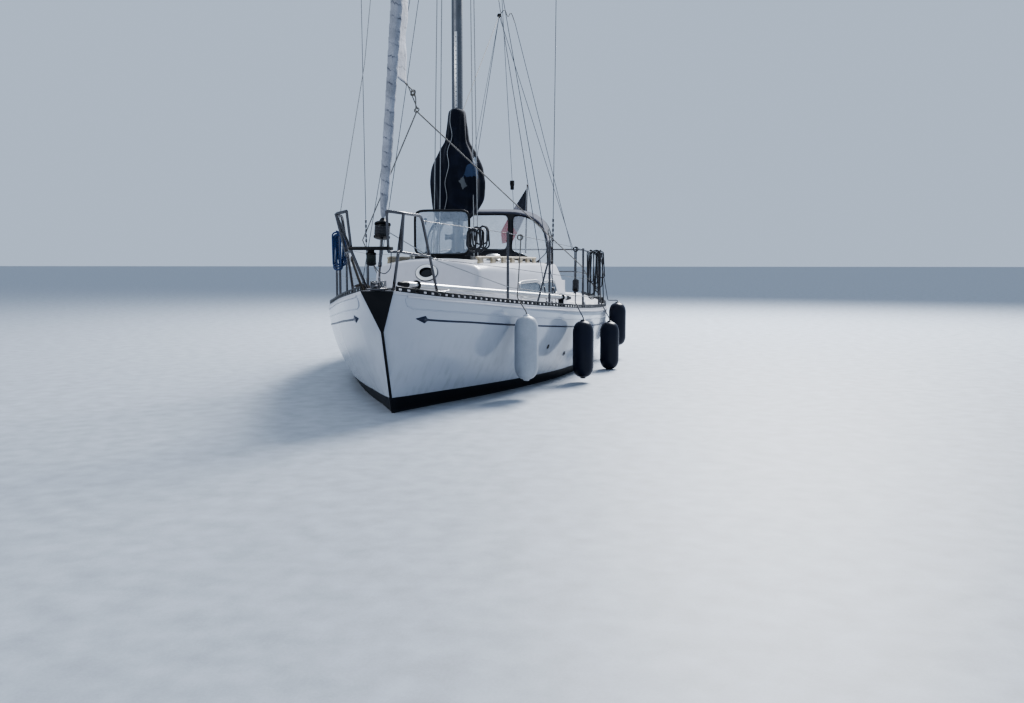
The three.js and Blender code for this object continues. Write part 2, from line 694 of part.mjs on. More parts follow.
// Stem fitting: a cheek plate on the foredeck with a bow roller, and the tang for the forestay
function addStemFitting() {
  const base = bay(-70, 330, -70, 70, 1078, 1092);
  const heel = sidePlate([[20, 1055], [330, 1022], [330, 1092], [20, 1092]], -70, 70);
  const cheeks = [-1, 1].map((side) => (
    bay(-70, 130, side > 0 ? 34 : -42, side > 0 ? 42 : -34, 1080, 1150)));
  const tang = bay(30, 90, -5, 5, 1080, 1180);
  place('stem_fitting', seated(joined([base, heel, ...cheeks, tang])), 'stainless');
}

// Plough anchor lashed upright inside the starboard bow rail
function addAnchor() {
  const foot = at(520, -255, deckZ(520, -0.55));
  const head = at(250, -285, 1330);
  const shank = rod(foot, head, 13, 8);
  const crown = rod(at(560, -330, deckZ(560, -0.6) + 12), at(560, -170, deckZ(560, -0.5) + 12), 15, 8);
  const blade = plate([[0, 0], [150, 60], [150, -60]], 14,
    new THREE.Matrix4().makeTranslation(STEM_X - 600, -255, deckZ(560, -0.5) + 8));
  place('anchor', seated(joined([shank, crown, blade])), 'iron');
}

// Guardrails: stanchions joined by two lifelines. The second stanchion is the braced gate post
const STANCHIONS = [1700, 2600, 3850, 5200, 6550];
const STANCHION_INSET = 85;
const PUSHPIT_LEG = 7900;

const railY = (s) => beamAt(s) - STANCHION_INSET;
const railFoot = (s) => deckZ(s, railY(s) / beamAt(s));

// Points of one lifeline: level 1 is the upper one, 0.5 the lower
function lifeline(level) {
  const bow = level === 1 ? [175, 336, 1640] : [400, 375, 1330];
  const up = level === 1 ? GUARD_HEIGHT - 8 : GUARD_HEIGHT / 2;
  return [bow, ...[...STANCHIONS, PUSHPIT_LEG - 16].map((s) => [s, railY(s), railFoot(s) + up])];
}

// Half-breadth and height of a lifeline at any s
function onLifeline(level, s) {
  const points = lifeline(level);
  const i = Math.max(1, points.findIndex((p) => p[0] >= s));
  const [a, b] = [points[i - 1], points[i]];
  const t = (s - a[0]) / (b[0] - a[0]);
  return [a[1] + t * (b[1] - a[1]), a[2] + t * (b[2] - a[2])];
}

function addGuardrails(pulpit) {
  const rails = {};
  for (const [name, side] of sides) {
    const point = (s, up) => at(s, side * railY(s), railFoot(s) + up);
    const parts = STANCHIONS.map((s) => rod(point(s, -10), point(s, GUARD_HEIGHT), RAIL_TUBE));
    for (const s of STANCHIONS) parts.push(rod(point(s, -10), point(s, 30), 24, 10));
    parts.push(rod(point(GATE_BRACE, -6), point(STANCHIONS[1], 520), RAIL_TUBE * 0.8));
    for (const level of [1, 0.5]) {
      const line = lifeline(level).map(([s, y, z]) => at(s, side * y, z));
      for (let i = 1; i < line.length; i++) parts.push(rod(line[i - 1], line[i], LIFELINE, 6));
    }
    rails[name] = biggest(clearOf(seated(joined(parts)), pulpit[name]));
    place(`guardrail_${name}`, rails[name], 'stainless');
  }
  return rails;
}

const PUSHPIT_CORNER = [8780, 940];
const pushpitTop = () => deckZ(PUSHPIT_CORNER[0], 0.9) + GUARD_HEIGHT + PUSHPIT_RISE;

function addPushpit() {
  const height = GUARD_HEIGHT + PUSHPIT_RISE;
  const corner = PUSHPIT_CORNER;
  const point = (s, y, up) => at(s, y, deckZ(s, 0.9) + up);
  const ring = [];
  for (const side of [1, -1]) {
    const run = [
      point(PUSHPIT_LEG, side * railY(PUSHPIT_LEG), height - PUSHPIT_RISE),
      point(8400, side * railY(8400), height),
      point(corner[0], side * corner[1], height),
    ];
    ring.push(...(side > 0 ? run : run.reverse()));
  }
  const parts = [];
  for (let i = 1; i < ring.length; i++) parts.push(rod(ring[i - 1], ring[i], RAIL_TUBE));
  for (const side of [1, -1]) {
    const legs = [
      [PUSHPIT_LEG, railY(PUSHPIT_LEG), height - PUSHPIT_RISE],
      [corner[0], corner[1], height],
    ];
    for (const [s, y, up] of legs) {
      const foot = at(s, side * y, deckZ(s, y / beamAt(s)) - 10);
      parts.push(rod(foot, point(s, side * y, up), RAIL_TUBE, 10));
      parts.push(rod(foot, foot.clone().add(new THREE.Vector3(0, 0, 22)), 26, 10));
    }
    parts.push(rod(point(PUSHPIT_LEG, side * railY(PUSHPIT_LEG), height / 2),
      point(corner[0], side * corner[1], height / 2), RAIL_TUBE * 0.8));
  }
  const across = [1, -1].map((side) => point(corner[0], side * corner[1], height / 2 + 6));
  parts.push(rod(...across, RAIL_TUBE * 0.8));
  place('pushpit', seated(joined(parts)), 'stainless');
}

// Mast: oval section on a step on the coachroof, with spreaders, tangs, gooseneck lugs and masthead
function oval(long, half, sides) {
  const outline = [];
  for (let i = 0; i < sides; i++) {
    const turn = (i / sides) * 2 * Math.PI;
    outline.push([long * Math.cos(turn), half * Math.sin(turn)]);
  }
  return outline;
}

function upright(outline, s, z0, z1) {
  return plate(outline, z1 - z0, new THREE.Matrix4().makeTranslation(STEM_X - s, 0, z0));
}

function buildMast() {
  const parts = [upright(oval(MAST_LONG, MAST_HALF, 16), MAST_S, 1300, MAST_TOP)];
  parts.push(upright(oval(MAST_LONG + 35, MAST_HALF + 35, 16), MAST_S, 1300, 1352));
  for (const side of [1, -1]) {
    const tip = at(MAST_S + 40, side * SPREADER_REACH, SPREADER_Z);
    parts.push(rod(at(MAST_S, side * 20, SPREADER_Z - 30), tip, 24, 8, 14));
    const [a, b] = side > 0 ? [30, 86] : [-86, -30];
    parts.push(bay(MAST_S - 60, MAST_S + 90, a, b, SPREADER_Z - 210, SPREADER_Z - 195));
  }
  for (const up of [1, -1]) {
    const z = BOOM_Z + up * (GOOSENECK.nose + GOOSENECK.lug / 2 + GAP);
    parts.push(bay(MAST_S + 40, GOOSENECK.axis + 14, -16, 16, z - GOOSENECK.lug / 2, z + GOOSENECK.lug / 2));
  }
  parts.push(bay(MAST_S - 110, MAST_S + 130, -40, 40, MAST_TOP - 40, MAST_TOP + 10));
  return seated(joined(parts));
}

// Standing rigging: each wire ends just under what holds it
function addRigging(mast) {
  const top = MAST_TOP + 5;
  const below = mast.translate([0, 0, -GAP]);
  const backstay = joined([
    rod(at(8880, 0, deckZ(8880, 0) - 8), at(MAST_S + 110, 0, top), WIRE, 6),
    rod(at(8880, 0, deckZ(8880, 0) - 8), at(8850, 0, 900), 14, 8),
  ]);
  place('backstay', seated(backstay).subtract(below), 'stainless');
  for (const [name, side] of sides) {
    const p = (s, y, z) => at(s, side * y, z);
    const spread = p(MAST_S + 40, SPREADER_REACH + WIRE + 3, SPREADER_Z);
    const deckAt = (s, y) => deckZ(s, y / beamAt(s)) - 8;
    const wires = [
      rod(p(MAST_S + 20, 1078, deckAt(MAST_S, 1078)), spread, WIRE, 6),
      rod(spread, p(MAST_S + 10, 30, top), WIRE, 6),
      rod(p(3150, 1062, deckAt(3150, 1062)), p(MAST_S - 40, 70, SPREADER_Z - 200), WIRE, 6),
      rod(p(3960, 1090, deckAt(3960, 1090)), p(MAST_S + 70, 70, SPREADER_Z - 200), WIRE, 6),
      bar(p(3100, 1060, deckAt(3100, 1060)), p(4010, 1094, deckAt(4010, 1094)), 40, 44),
    ];
    place(`shrouds_${name}`, biggest(seated(joined(wires)).subtract(below)), 'stainless');
  }
}

// Flat bar between two points, with its width across and its height
function bar(a, b, width, height) {
  const along = b.clone().sub(a);
  const geometry = new THREE.BoxGeometry(along.length(), width, height);
  const turn = new THREE.Quaternion().setFromUnitVectors(new THREE.Vector3(1, 0, 0), along.clone().normalize());
  geometry.applyQuaternion(turn);
  const middle = a.clone().add(b).multiplyScalar(0.5);
  geometry.translate(middle.x, middle.y, middle.z);
  return solid(geometry);
}

// Forestay line from the stem fitting to the masthead
const STAY = { foot: [60, 1185], head: [MAST_S - 100, MAST_TOP - 40] };

function stayPoint(z) {
  const t = (z - STAY.foot[1]) / (STAY.head[1] - STAY.foot[1]);
  return at(STAY.foot[0] + t * (STAY.head[0] - STAY.foot[0]), 0, z);
}

// Rolled headsail. Columns: height and radius of the roll
const ROLL_FOOT = 1662;
const ROLL = [
  [ROLL_FOOT, 9], [1700, 24], [1850, 36], [2200, 44], [2750, 45], [3570, 54], [4800, 62], [7500, 54],
  [10000, 40], [12100, 24], [12180, 10],
];

// Furling drum on the stay. Columns: height of both ends, radius of both ends
const DRUM = [
  [1185, 1260, 9, 9], [1255, 1300, 16, 16], [1300, 1502, 14, 14], [1500, 1514, 68, 68],
  [1512, 1610, 62, 62], [1608, 1622, 68, 64], [1620, 1668, 36, 22],
];

function addHeadsail(mast) {
  const rings = ROLL.map(([z, radius]) => {
    const centre = stayPoint(z);
    return oval(radius, radius, 12).map(([x, y]) => new THREE.Vector3(centre.x + x, y, z));
  });
  const wire = rod(stayPoint(12100), stayPoint(STAY.head[1] + 10), WIRE, 6);
  const roll = loft(rings).add(wire).subtract(mast.translate([0, 0, -GAP]));
  place('furled_genoa', roll, 'sailcloth');
  const above = bay(-200, 600, -200, 200, ROLL_FOOT - GAP, 1800);
  const stack = DRUM.map(([a, b, r, tip]) => rod(stayPoint(a), stayPoint(b), r, 16, tip));
  place('furler_drum', joined(stack).subtract(above), 'black');
}

// Sail cover: a collar round the mast, and the part that lies along the boom and swings with it
const COLLAR = [
  [1765, 120, 200], [1900, 170, 285], [2200, 200, 310], [2370, 190, 285], [2530, 160, 210],
  [2640, 115, 130], [3010, 95, 94],
];
const COVER_AXIS_CLEARANCE = 12;
const COVER_V = THREE.MathUtils.degToRad(32);
const COVER = [
  [3740, 1780, 2640, 300], [4300, 1862, 2480, 270], [5200, 1966, 2400, 225], [6300, 2073, 2380, 185],
  [7020, 2142, 2370, 150],
];

function collarRing([z, ahead, half]) {
  const aft = GOOSENECK.axis - COVER_AXIS_CLEARANCE;
  const points = [at(aft, half * 0.9, z)];
  for (let i = 0; i <= 8; i++) {
    const turn = Math.PI / 2 - (i / 8) * Math.PI;
    points.push(at(MAST_S - 10 - (MAST_LONG + ahead) * Math.cos(turn), half * Math.sin(turn), z));
  }
  points.push(at(aft, -half * 0.9, z));
  return points;
}

function coverRing([s, low, high, half]) {
  const points = [];
  for (let i = 0; i < 14; i++) {
    const turn = (i / 14) * 2 * Math.PI;
    const z = (low + high) / 2 - ((high - low) / 2) * Math.cos(turn);
    const fall = 0.55 + 0.45 * Math.min(1, (high - z) / (high - low) / 0.45);
    points.push(at(s, half * Math.sin(turn) * fall, z));
  }
  return points;
}

function addCovers(mast) {
  const grown = joined([
    upright(oval(MAST_LONG + GAP, MAST_HALF + GAP, 16), MAST_S, 1300, MAST_TOP),
    bay(MAST_S, GOOSENECK.axis + 20, -16 - GAP, 16 + GAP, BOOM_Z - 60, BOOM_Z + 60),
  ]);
  place('sail_cover_collar', loft(COLLAR.map(collarRing)).subtract(grown), 'canvas');
  const [far, side] = [4800, 1200 * Math.tan(COVER_V)];
  const wedge = plate([[0, 0], [-1200, side], [-far, side], [-far, -side], [-1200, -side]], 3000,
    new THREE.Matrix4().makeTranslation(STEM_X - GOOSENECK.axis, 0, 1200));
  const cover = loft(COVER.map(coverRing)).intersect(wedge).subtract(buildBoom(GAP));
  place('sail_cover', swung(cover), 'canvas');
  place('boom', swung(buildBoom(0)), 'alloy');
}

// The boom lies off to starboard, turned about the gooseneck
function swung(shape) {
  const x = STEM_X - GOOSENECK.axis;
  return shape.translate([-x, 0, 0]).rotate([0, 0, BOOM_SET]).translate([x, 0, 0]);
}

// Boom: oval section, nose between the gooseneck lugs, rising aft
function boomShape(grow) {
  const tilt = Math.tan(BOOM_RISE);
  const ring = (s, w, h) => oval(w, h, 14).map(([y, z]) => at(s, y, BOOM_Z + (s - GOOSENECK.axis) * tilt + z));
  const [w, h] = [BOOM_WIDTH / 2 + grow, BOOM_HEIGHT / 2 + grow];
  const [front, aft] = [GOOSENECK.axis + 60 - grow, GOOSENECK.axis + BOOM_LENGTH + grow];
  return loft([ring(front, w, h), ring(aft, w, h)]);
}

function buildBoom(grow) {
  const [low, high] = [BOOM_Z - GOOSENECK.nose - grow, BOOM_Z + GOOSENECK.nose + grow];
  const nose = rod(at(GOOSENECK.axis, 0, low), at(GOOSENECK.axis, 0, high), 14 + grow, 16);
  const [wide, tall] = [13 + grow, 24 + grow];
  const neck = bay(GOOSENECK.axis, GOOSENECK.axis + 90, -wide, wide, BOOM_Z - tall, BOOM_Z + tall);
  return joined([boomShape(grow), nose, neck]);
}

// Sprayhood arches. Columns: s, half-breadth, crown height, squareness of the arch
const HOOD = [
  [5080, 640, 1352, 2.2],
  [5600, 840, 1972, 3.6],
  [5850, 862, 2008, 3.9],
  [6290, 824, 1995, 3.9],
];
const HOOD_WALL = 16;
const HOOD_BASE = 1230;

function hoodRing([s, half, crown, square], inset) {
  const points = [];
  for (let i = 0; i <= 14; i++) {
    const turn = Math.PI * (i / 14);
    const [c, d] = [Math.cos(turn), Math.sin(turn)];
    const y = (half - inset) * Math.sign(c) * Math.abs(c) ** (2 / square);
    points.push(at(s, y, HOOD_BASE + (crown - inset - HOOD_BASE) * d ** (2 / square)));
  }
  return points;
}

function addSprayhood() {
  const [front, , , aft] = HOOD;
  const rows = [[front[0] + 20, ...front.slice(1)], HOOD[1], HOOD[2], [aft[0] + 40, ...aft.slice(1)]];
  const outer = loft(HOOD.map((row) => hoodRing(row, 0)));
  const inner = loft(rows.map((row) => hoodRing(row, HOOD_WALL)));
  const under = bay(4900, 6400, -1200, 1200, 500, HOOD_BASE + 8);
  place('sprayhood', biggest(seated(outer.subtract(inner).subtract(under))), 'canvas');
}

// Teak grab rails along the coachroof
const GRAB_RAIL_PLACES = [2300, 2750, 3200, 3650, 4100, 4550, 5000];
const GRAB_RAIL_FRACTION = 0.86;

function addGrabRails() {
  for (const [name, side] of sides) {
    const outline = GRAB_RAIL_PLACES.map((s) => {
      const row = roofRow(s);
      const y = row[4] * GRAB_RAIL_FRACTION;
      return [s, y, camber(row, y)];
    });
    const parts = [];
    for (let i = 1; i < outline.length; i++) {
      const [[s0, y0, z0], [s1, y1, z1]] = [outline[i - 1], outline[i]];
      parts.push(bar(at(s0 - 3, side * y0, z0 + 55), at(s1 + 3, side * y1, z1 + 55), 26, 28));
    }
    for (const [s, y, z] of outline) {
      parts.push(bay(s - 45, s + 45, side * y - 13, side * y + 13, z - 12, z + 60));
    }
    place(`grab_rail_${name}`, seated(joined(parts)), 'teak');
  }
}

// Cockpit winches on the coamings
function addWinches() {
  const profile = [[0, 62], [10, 62], [22, 50], [34, 42], [96, 38], [112, 52], [124, 52], [130, 34]];
  for (const [name, side] of sides) {
    const base = COAMING_TOP + GAP;
    const parts = profile.slice(1).map(([z, r], i) => (
      rod(at(6850, side * 795, base + profile[i][0]), at(6850, side * 795, base + z), profile[i][1], 16, r)));
    place(`winch_${name}`, joined(parts), 'stainless');
  }
}

// Spinnaker pole in two chocks on the port side deck
function addPole() {
  const ends = [at(300, 100, 1122), at(3500, 1288, 893)];
  const spot = (t) => ends[0].clone().lerp(ends[1], t);
  const parts = [
    rod(spot(0.03), spot(0.97), 27, 12),
    rod(ends[0], spot(0.05), 18, 12),
    rod(spot(0.95), ends[1], 18, 12),
  ];
  for (const t of [0.08, 0.93]) {
    const p = spot(t);
    parts.push(bay(STEM_X - p.x - 20, STEM_X - p.x + 20, p.y - 30, p.y + 30, p.z - 160, p.z + 6));
  }
  place('spinnaker_pole', biggest(seated(joined(parts))), 'alloy');
}

// Fenders on their lines. Columns: s, half-breadth, height of the middle, length, s of the knot on
// the guardrail, colour
const FENDERS = [
  [1620, 1022, 485, 640, 1950, 'fender'],
  [3000, 1472, 360, 640, 3550, 'navy'],
  [4400, 1696, 290, 600, 5060, 'navy'],
  [5900, 1736, 460, 600, 6350, 'navy'],
];

// Half of a fender's outline. Columns: fraction of the length from the middle, radius
const FENDER_HALF = [[0.3, 114], [0.38, 104], [0.45, 74], [0.48, 40], [0.5, 22]];
const FENDER_LINE = 5;

function addFenders(guard) {
  const lower = FENDER_HALF.map(([f, r]) => [-f, r]).reverse();
  FENDERS.forEach(([s, y, z, length, knot, colour], i) => {
    const rings = [...lower, ...FENDER_HALF].map(([f, r]) => (
      oval(r, r, 16).map(([dx, dy]) => at(s - dx, y + dy, z + f * length))));
    const [railHalf, railZ] = onLifeline(1, knot);
    const top = at(s, y, z + length / 2 - 6);
    const over = s + (knot - s) * FENDER_LEAD;
    const edge = at(over, beamAt(over) + 14, deckZ(over, 1) + 62);
    const rail = at(knot, railHalf + LIFELINE + 4, railZ + 4);
    const line = [rod(top, edge, FENDER_LINE, 6), rod(edge, rail, FENDER_LINE, 6)];
    place(`fender_${i + 1}`, biggest(clearOf(joined([loft(rings), ...line]), guard)), colour);
  });
}

// Share of a fender line's slant that lies below the toe rail
const FENDER_LEAD = 0.2;

// Flagstaff against the pushpit, leaning aft, and the ensign's cloth hanging from it
const STAFF = { radius: 13, length: 1150, y: 130, lean: Math.atan(0.2) };
const ENSIGN_THICKNESS = 30;

// Corners of the cloth: distance to port of the staff, distance up the staff
const ENSIGN = [
  [-13.05, 1075], [-13.05, 640], [-100, 430], [-215, 200], [-395, 160], [-420, 360], [-250, 690], [-130, 880],
];

function addEnsign() {
  const { radius, length, y, lean } = STAFF;
  const [cos, sin] = [Math.cos(lean), Math.sin(lean)];
  const foot = at(PUSHPIT_CORNER[0] + (RAIL_TUBE + radius + GAP) / cos, y, pushpitTop());
  foot.addScaledVector(new THREE.Vector3(-sin, 0, cos), -60);
  const tip = foot.clone().addScaledVector(new THREE.Vector3(-sin, 0, cos), length);
  place('flagstaff', rod(foot, tip, radius, 10), 'teak');
  const turn = new THREE.Matrix4().makeBasis(
    new THREE.Vector3(0, 1, 0), new THREE.Vector3(-sin, 0, cos), new THREE.Vector3(cos, 0, sin));
  turn.premultiply(new THREE.Matrix4().makeTranslation(foot.x, y, foot.z));
  turn.multiply(new THREE.Matrix4().makeTranslation(0, 0, -ENSIGN_THICKNESS / 2));
  place('ensign', plate(ENSIGN, ENSIGN_THICKNESS, turn), 'ensign');
}

// Rope coils hung on the rails, seen face on from ahead. Columns: name, s, y, top height, width,
// length, thickness, colour
const COIL_BAND = 36;
const COILS = [
  ['blue_rope_coil', 250, -394, 1567, 122, 330, 60, 'blue_rope'],
  ['black_rope_coil', 1180, 628, 1636, 244, 250, 70, 'rope'],
  ['dark_rope_coil', 4750, 1502, 1450, 256, 650, 90, 'rope'],
];

function addCoils(held) {
  for (const [name, s, y, top, width, length, thick, colour] of COILS) {
    const loop = (inset) => rounded(y - width / 2 + inset, y + width / 2 - inset,
      top - length + inset, top - inset, width / 2 - inset - 1);
    const outer = plate(loop(0), thick, facing(s + thick / 2));
    const hole = plate(loop(COIL_BAND), thick * 2, facing(s + thick));
    place(name, biggest(clearOf(outer.subtract(hole), held)), colour);
  }
}

// Rudder: blade behind the skeg, stock through the hull, and the tiller
function addRudder() {
  const rows = [[RUDDER_TOP, -18, 450, 34], [-900, -14, 400, 30], [RUDDER_FOOT, 30, 330, 22]];
  const rings = rows.map(([z, lead, chord, half]) => foilRing([z, RUDDER_S + lead, chord, half]));
  const stock = rod(at(RUDDER_S, 0, RUDDER_TOP - 300), at(RUDDER_S, 0, TILLER_TOP), STOCK_RADIUS, 16);
  const head = rod(at(RUDDER_S, 0, TILLER_TOP - 60), at(RUDDER_S, 0, TILLER_TOP + 12), 38, 16);
  place('rudder', joined([loft(rings), stock, head]), 'antifouling');
  const tiller = tube([at(RUDDER_S - 40, 0, TILLER_TOP - 25), at(RUDDER_S - 400, 0, TILLER_TOP + 25),
    at(RUDDER_S - 800, 0, TILLER_TOP + 40), at(RUDDER_S - TILLER_LENGTH, 0, TILLER_TOP + 10)], 20, 16, 10);
  place('tiller', tiller.subtract(head.translate([0.3, 0, 0])).subtract(head), 'teak');
}

// Propeller shaft with its bracket, and the propeller
const SHAFT = new THREE.Vector3(-Math.cos(SHAFT_TILT), 0, -Math.sin(SHAFT_TILT));
const shaftPoint = (d) => at(PROP_S, 0, PROP_Z).addScaledVector(SHAFT, d);

function addShaft(hull) {
  const shaft = rod(shaftPoint(-1400), shaftPoint(-2 - GAP), 15, 12);
  const bearing = rod(shaftPoint(-170), shaftPoint(-60), 30, 12);
  const strut = bar(at(PROP_S - 115, 0, -300), shaftPoint(-115), 16, 60);
  const part = joined([shaft, bearing, strut]).subtract(hull.translate([0, 0, -GAP])).subtract(hull);
  place('shaft_bracket', biggest(part), 'bronze');
}

function addPropeller() {
  const parts = [rod(shaftPoint(-2), shaftPoint(75), 34, 16), rod(shaftPoint(75), shaftPoint(125), 34, 16, 12)];
  for (let i = 0; i < 3; i++) {
    const edge = [[0, 30], [60, 62], [130, 75], [185, 48]];
    const outline = [...edge.map(([r, w]) => [r, -w]), [PROP_RADIUS, 0], ...edge.reverse()];
    const middle = new THREE.Matrix4().makeTranslation(0, 0, -6);
    const pitch = new THREE.Matrix4().makeRotationX(THREE.MathUtils.degToRad(35));
    const stand = new THREE.Matrix4().makeRotationY(-Math.PI / 2);
    const turn = new THREE.Matrix4().makeRotationX((i * 2 * Math.PI) / 3);
    const tilt = new THREE.Matrix4().makeRotationY(-SHAFT_TILT);
    const to = shaftPoint(38);
    const shift = new THREE.Matrix4().makeTranslation(to.x, to.y, to.z);
    const whole = [shift, tilt, turn, stand, pitch, middle].reduce((m, n) => m.multiply(n), new THREE.Matrix4());
    parts.push(plate(outline, 12, whole));
  }
  place('propeller', joined(parts), 'bronze');
}

addDeck();
addCoachroof();
addPanes();
const hull = addHull();
addStemGuard();
addKeels(hull);
addEngine();
addCockpit();
addLockerLids();
addToeRails();
addForeHatch();
addCompanionway();
addWashboards();
const pulpit = addPulpit();
addBowLight();
addStemFitting();
addAnchor();
const guardrails = addGuardrails(pulpit);
addPushpit();
const mast = buildMast();
place('mast', mast, 'alloy');
addRigging(mast);
addHeadsail(mast);
addCovers(mast);
addSprayhood();
addGrabRails();
addWinches();
addPole();
addFenders(guardrails.port);
addEnsign();
addCoils(joined([pulpit.port, pulpit.starboard, guardrails.port, guardrails.starboard]));
addRudder();
addShaft(hull);
addPropeller();

export default yacht;
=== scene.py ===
# Sailing yacht: the looks of a 9 m masthead sloop, afloat with its sails stowed.
# Metres, +X forward, +Y to port, +Z up, origin on the waterline amidships.
# A place is given as s, the distance aft of the stemhead, y to port and z above the water.
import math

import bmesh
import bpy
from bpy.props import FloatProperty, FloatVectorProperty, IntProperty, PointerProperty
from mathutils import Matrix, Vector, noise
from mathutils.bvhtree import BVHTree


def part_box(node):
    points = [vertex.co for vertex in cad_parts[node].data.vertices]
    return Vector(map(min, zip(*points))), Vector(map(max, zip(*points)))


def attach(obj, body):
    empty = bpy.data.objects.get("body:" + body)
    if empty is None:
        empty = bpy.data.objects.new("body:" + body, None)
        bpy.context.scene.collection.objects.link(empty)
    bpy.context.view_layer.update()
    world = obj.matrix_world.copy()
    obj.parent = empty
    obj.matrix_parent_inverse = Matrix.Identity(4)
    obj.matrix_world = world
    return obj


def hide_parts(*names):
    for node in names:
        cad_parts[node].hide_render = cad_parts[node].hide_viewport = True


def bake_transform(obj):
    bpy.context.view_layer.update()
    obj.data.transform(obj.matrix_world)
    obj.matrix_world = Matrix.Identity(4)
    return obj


bl_info = {
    "name": "Sailing yacht",
    "version": (1, 0, 0),
    "blender": (4, 5, 0),
    "location": "View3D > Sidebar > Yacht",
    "description": "Finishes a masthead sloop, piece by piece, around its packed frame",
    "category": "Object",
}

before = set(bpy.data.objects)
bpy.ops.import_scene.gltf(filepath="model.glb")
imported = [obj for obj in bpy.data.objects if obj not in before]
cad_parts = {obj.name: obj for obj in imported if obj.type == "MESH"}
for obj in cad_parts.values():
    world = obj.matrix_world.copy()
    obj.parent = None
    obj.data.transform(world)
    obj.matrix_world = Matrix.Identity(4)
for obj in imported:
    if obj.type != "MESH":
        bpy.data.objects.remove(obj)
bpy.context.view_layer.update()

SIDES = (("port", 1), ("starboard", -1))


# Sizes of the boat

# Hull. Columns: s at the deck edge, half-beam and height of the deck edge, height of the
# canoe body's bottom, fullness of the section (1 is a V, 2 an ellipse)
STEM_X = 4.5
STERN = 9.0
STATIONS = [
    (0.00, 0.140, 1.042, -0.120, 1.00),
    (0.45, 0.400, 0.985, -0.240, 1.15),
    (0.95, 0.625, 0.938, -0.330, 1.30),
    (1.50, 0.840, 0.888, -0.400, 1.50),
    (2.40, 1.170, 0.818, -0.480, 1.75),
    (3.50, 1.440, 0.750, -0.540, 2.00),
    (5.00, 1.600, 0.700, -0.560, 2.15),
    (6.40, 1.560, 0.686, -0.480, 2.10),
    (7.60, 1.390, 0.702, -0.290, 1.95),
    (8.40, 1.200, 0.726, -0.060, 1.85),
    (9.00, 1.020, 0.752, 0.140, 1.75),
]
STEM_RAKE = 0.445
RAKE_END = 2.0
STEM_SHEER = 1.042
STEM_HALF = 0.012
WEDGE_HALF = 0.140
WEDGE_FOOT = 0.723
FIRST_FRAME = 0.225
DECK_THICKNESS = 0.028
DECK_CAMBER = 0.045
WIDEST_S = 5.0

# Coachroof. Columns: s, half-breadth at the deck, half-breadth and height of the knuckle,
# half-breadth and height of the roof's edge, height of its crown
ROOF = [
    (1.78, 0.500, 0.488, 1.000, 0.440, 1.015, 1.035),
    (1.93, 0.570, 0.520, 1.225, 0.470, 1.265, 1.325),
    (2.20, 0.640, 0.580, 1.238, 0.525, 1.275, 1.335),
    (3.00, 0.790, 0.715, 1.212, 0.650, 1.275, 1.337),
    (4.30, 0.930, 0.830, 1.160, 0.770, 1.272, 1.335),
    (5.30, 1.010, 0.900, 1.130, 0.838, 1.268, 1.330),
    (6.15, 1.060, 0.940, 1.112, 0.870, 1.262, 1.325),
]
ROOF_FILLET = (-0.036, -0.018, 0.0, 0.018, 0.036)

# Side windows. Columns: s of both ends, bottom and top
WINDOWS = [(3.15, 4.25, 0.905, 1.060), (4.40, 5.35, 0.890, 1.040)]

# Rails
STANCHIONS = [1.70, 2.60, 3.85, 5.20, 6.55]
STANCHION_INSET = 0.085
GUARD_HEIGHT = 0.68
RAIL_TUBE = 0.0125
RAIL_THIN = RAIL_TUBE * 0.85
BRACE_FOOT = 2.28
PUSHPIT_LEG = 7.9
PUSHPIT_BEND = 8.4
PUSHPIT_CORNER = (8.78, 0.94)
PUSHPIT_RISE = 0.034

# Rig
MAST_S = 3.54
MAST_TOP = 12.9
MAST_LONG = 0.075
MAST_HALF = 0.062
SPREADER_Z = 6.9
SPREADER_REACH = 1.13
GOOSENECK_S = 3.7
BOOM_SET = math.radians(9.0)
BOOM_Z = 1.9
BOOM_LENGTH = 3.35
BOOM_HALF = 0.055
BOOM_TILT = math.tan(math.radians(5.5))
STAY_FOOT = (0.060, 1.185)
STAY_HEAD = (3.440, 12.860)

# Camera of the reference view
FOCAL_PIXELS = 1050.0
IMAGE_WIDTH = 1024.0
SENSOR = 36.0
CAMERA_PLACE = (12.821, 2.236, 1.32)
CAMERA_BEARING = 7.75
CAMERA_PITCH = math.degrees(math.atan(91.5 / FOCAL_PIXELS))


# Settings

def colour_property(name, description, default):
    return FloatVectorProperty(name=name, description=description, default=default, subtype="COLOR",
                               min=0.0, max=1.0)


def length_property(name, description, default):
    return FloatProperty(name=name, description=description, default=default, unit="LENGTH")


class YachtHullSettings(bpy.types.PropertyGroup):
    """Sizes and colours of the hull and deck"""
    topsides: colour_property("Topsides", "Gelcoat above the boot top", (0.48, 0.51, 0.57))
    boot_top: colour_property("Boot top", "Band at the waterline and the stem wedge", (0.007, 0.008, 0.011))
    bottom: colour_property("Bottom", "Antifouling below the water", (0.018, 0.020, 0.028))
    stripe: colour_property("Stripe", "Cove stripe under the deck edge", (0.012, 0.020, 0.050))
    deck: colour_property("Deck", "Moulded deck and coachroof", (0.56, 0.56, 0.60))
    grip: colour_property("Grip", "Sanded non-slip panels", (0.46, 0.47, 0.48))
    teak: colour_property("Teak", "Grab rails, tiller and boards", (0.50, 0.42, 0.29))
    boot_top_height: length_property("Boot top height", "Upper edge of the black band", 0.11)
    stripe_drop: length_property("Stripe drop", "Stripe below the deck edge", 0.185)
    moulding_drop: length_property("Moulding drop", "Rubbing moulding below the deck edge", 0.095)


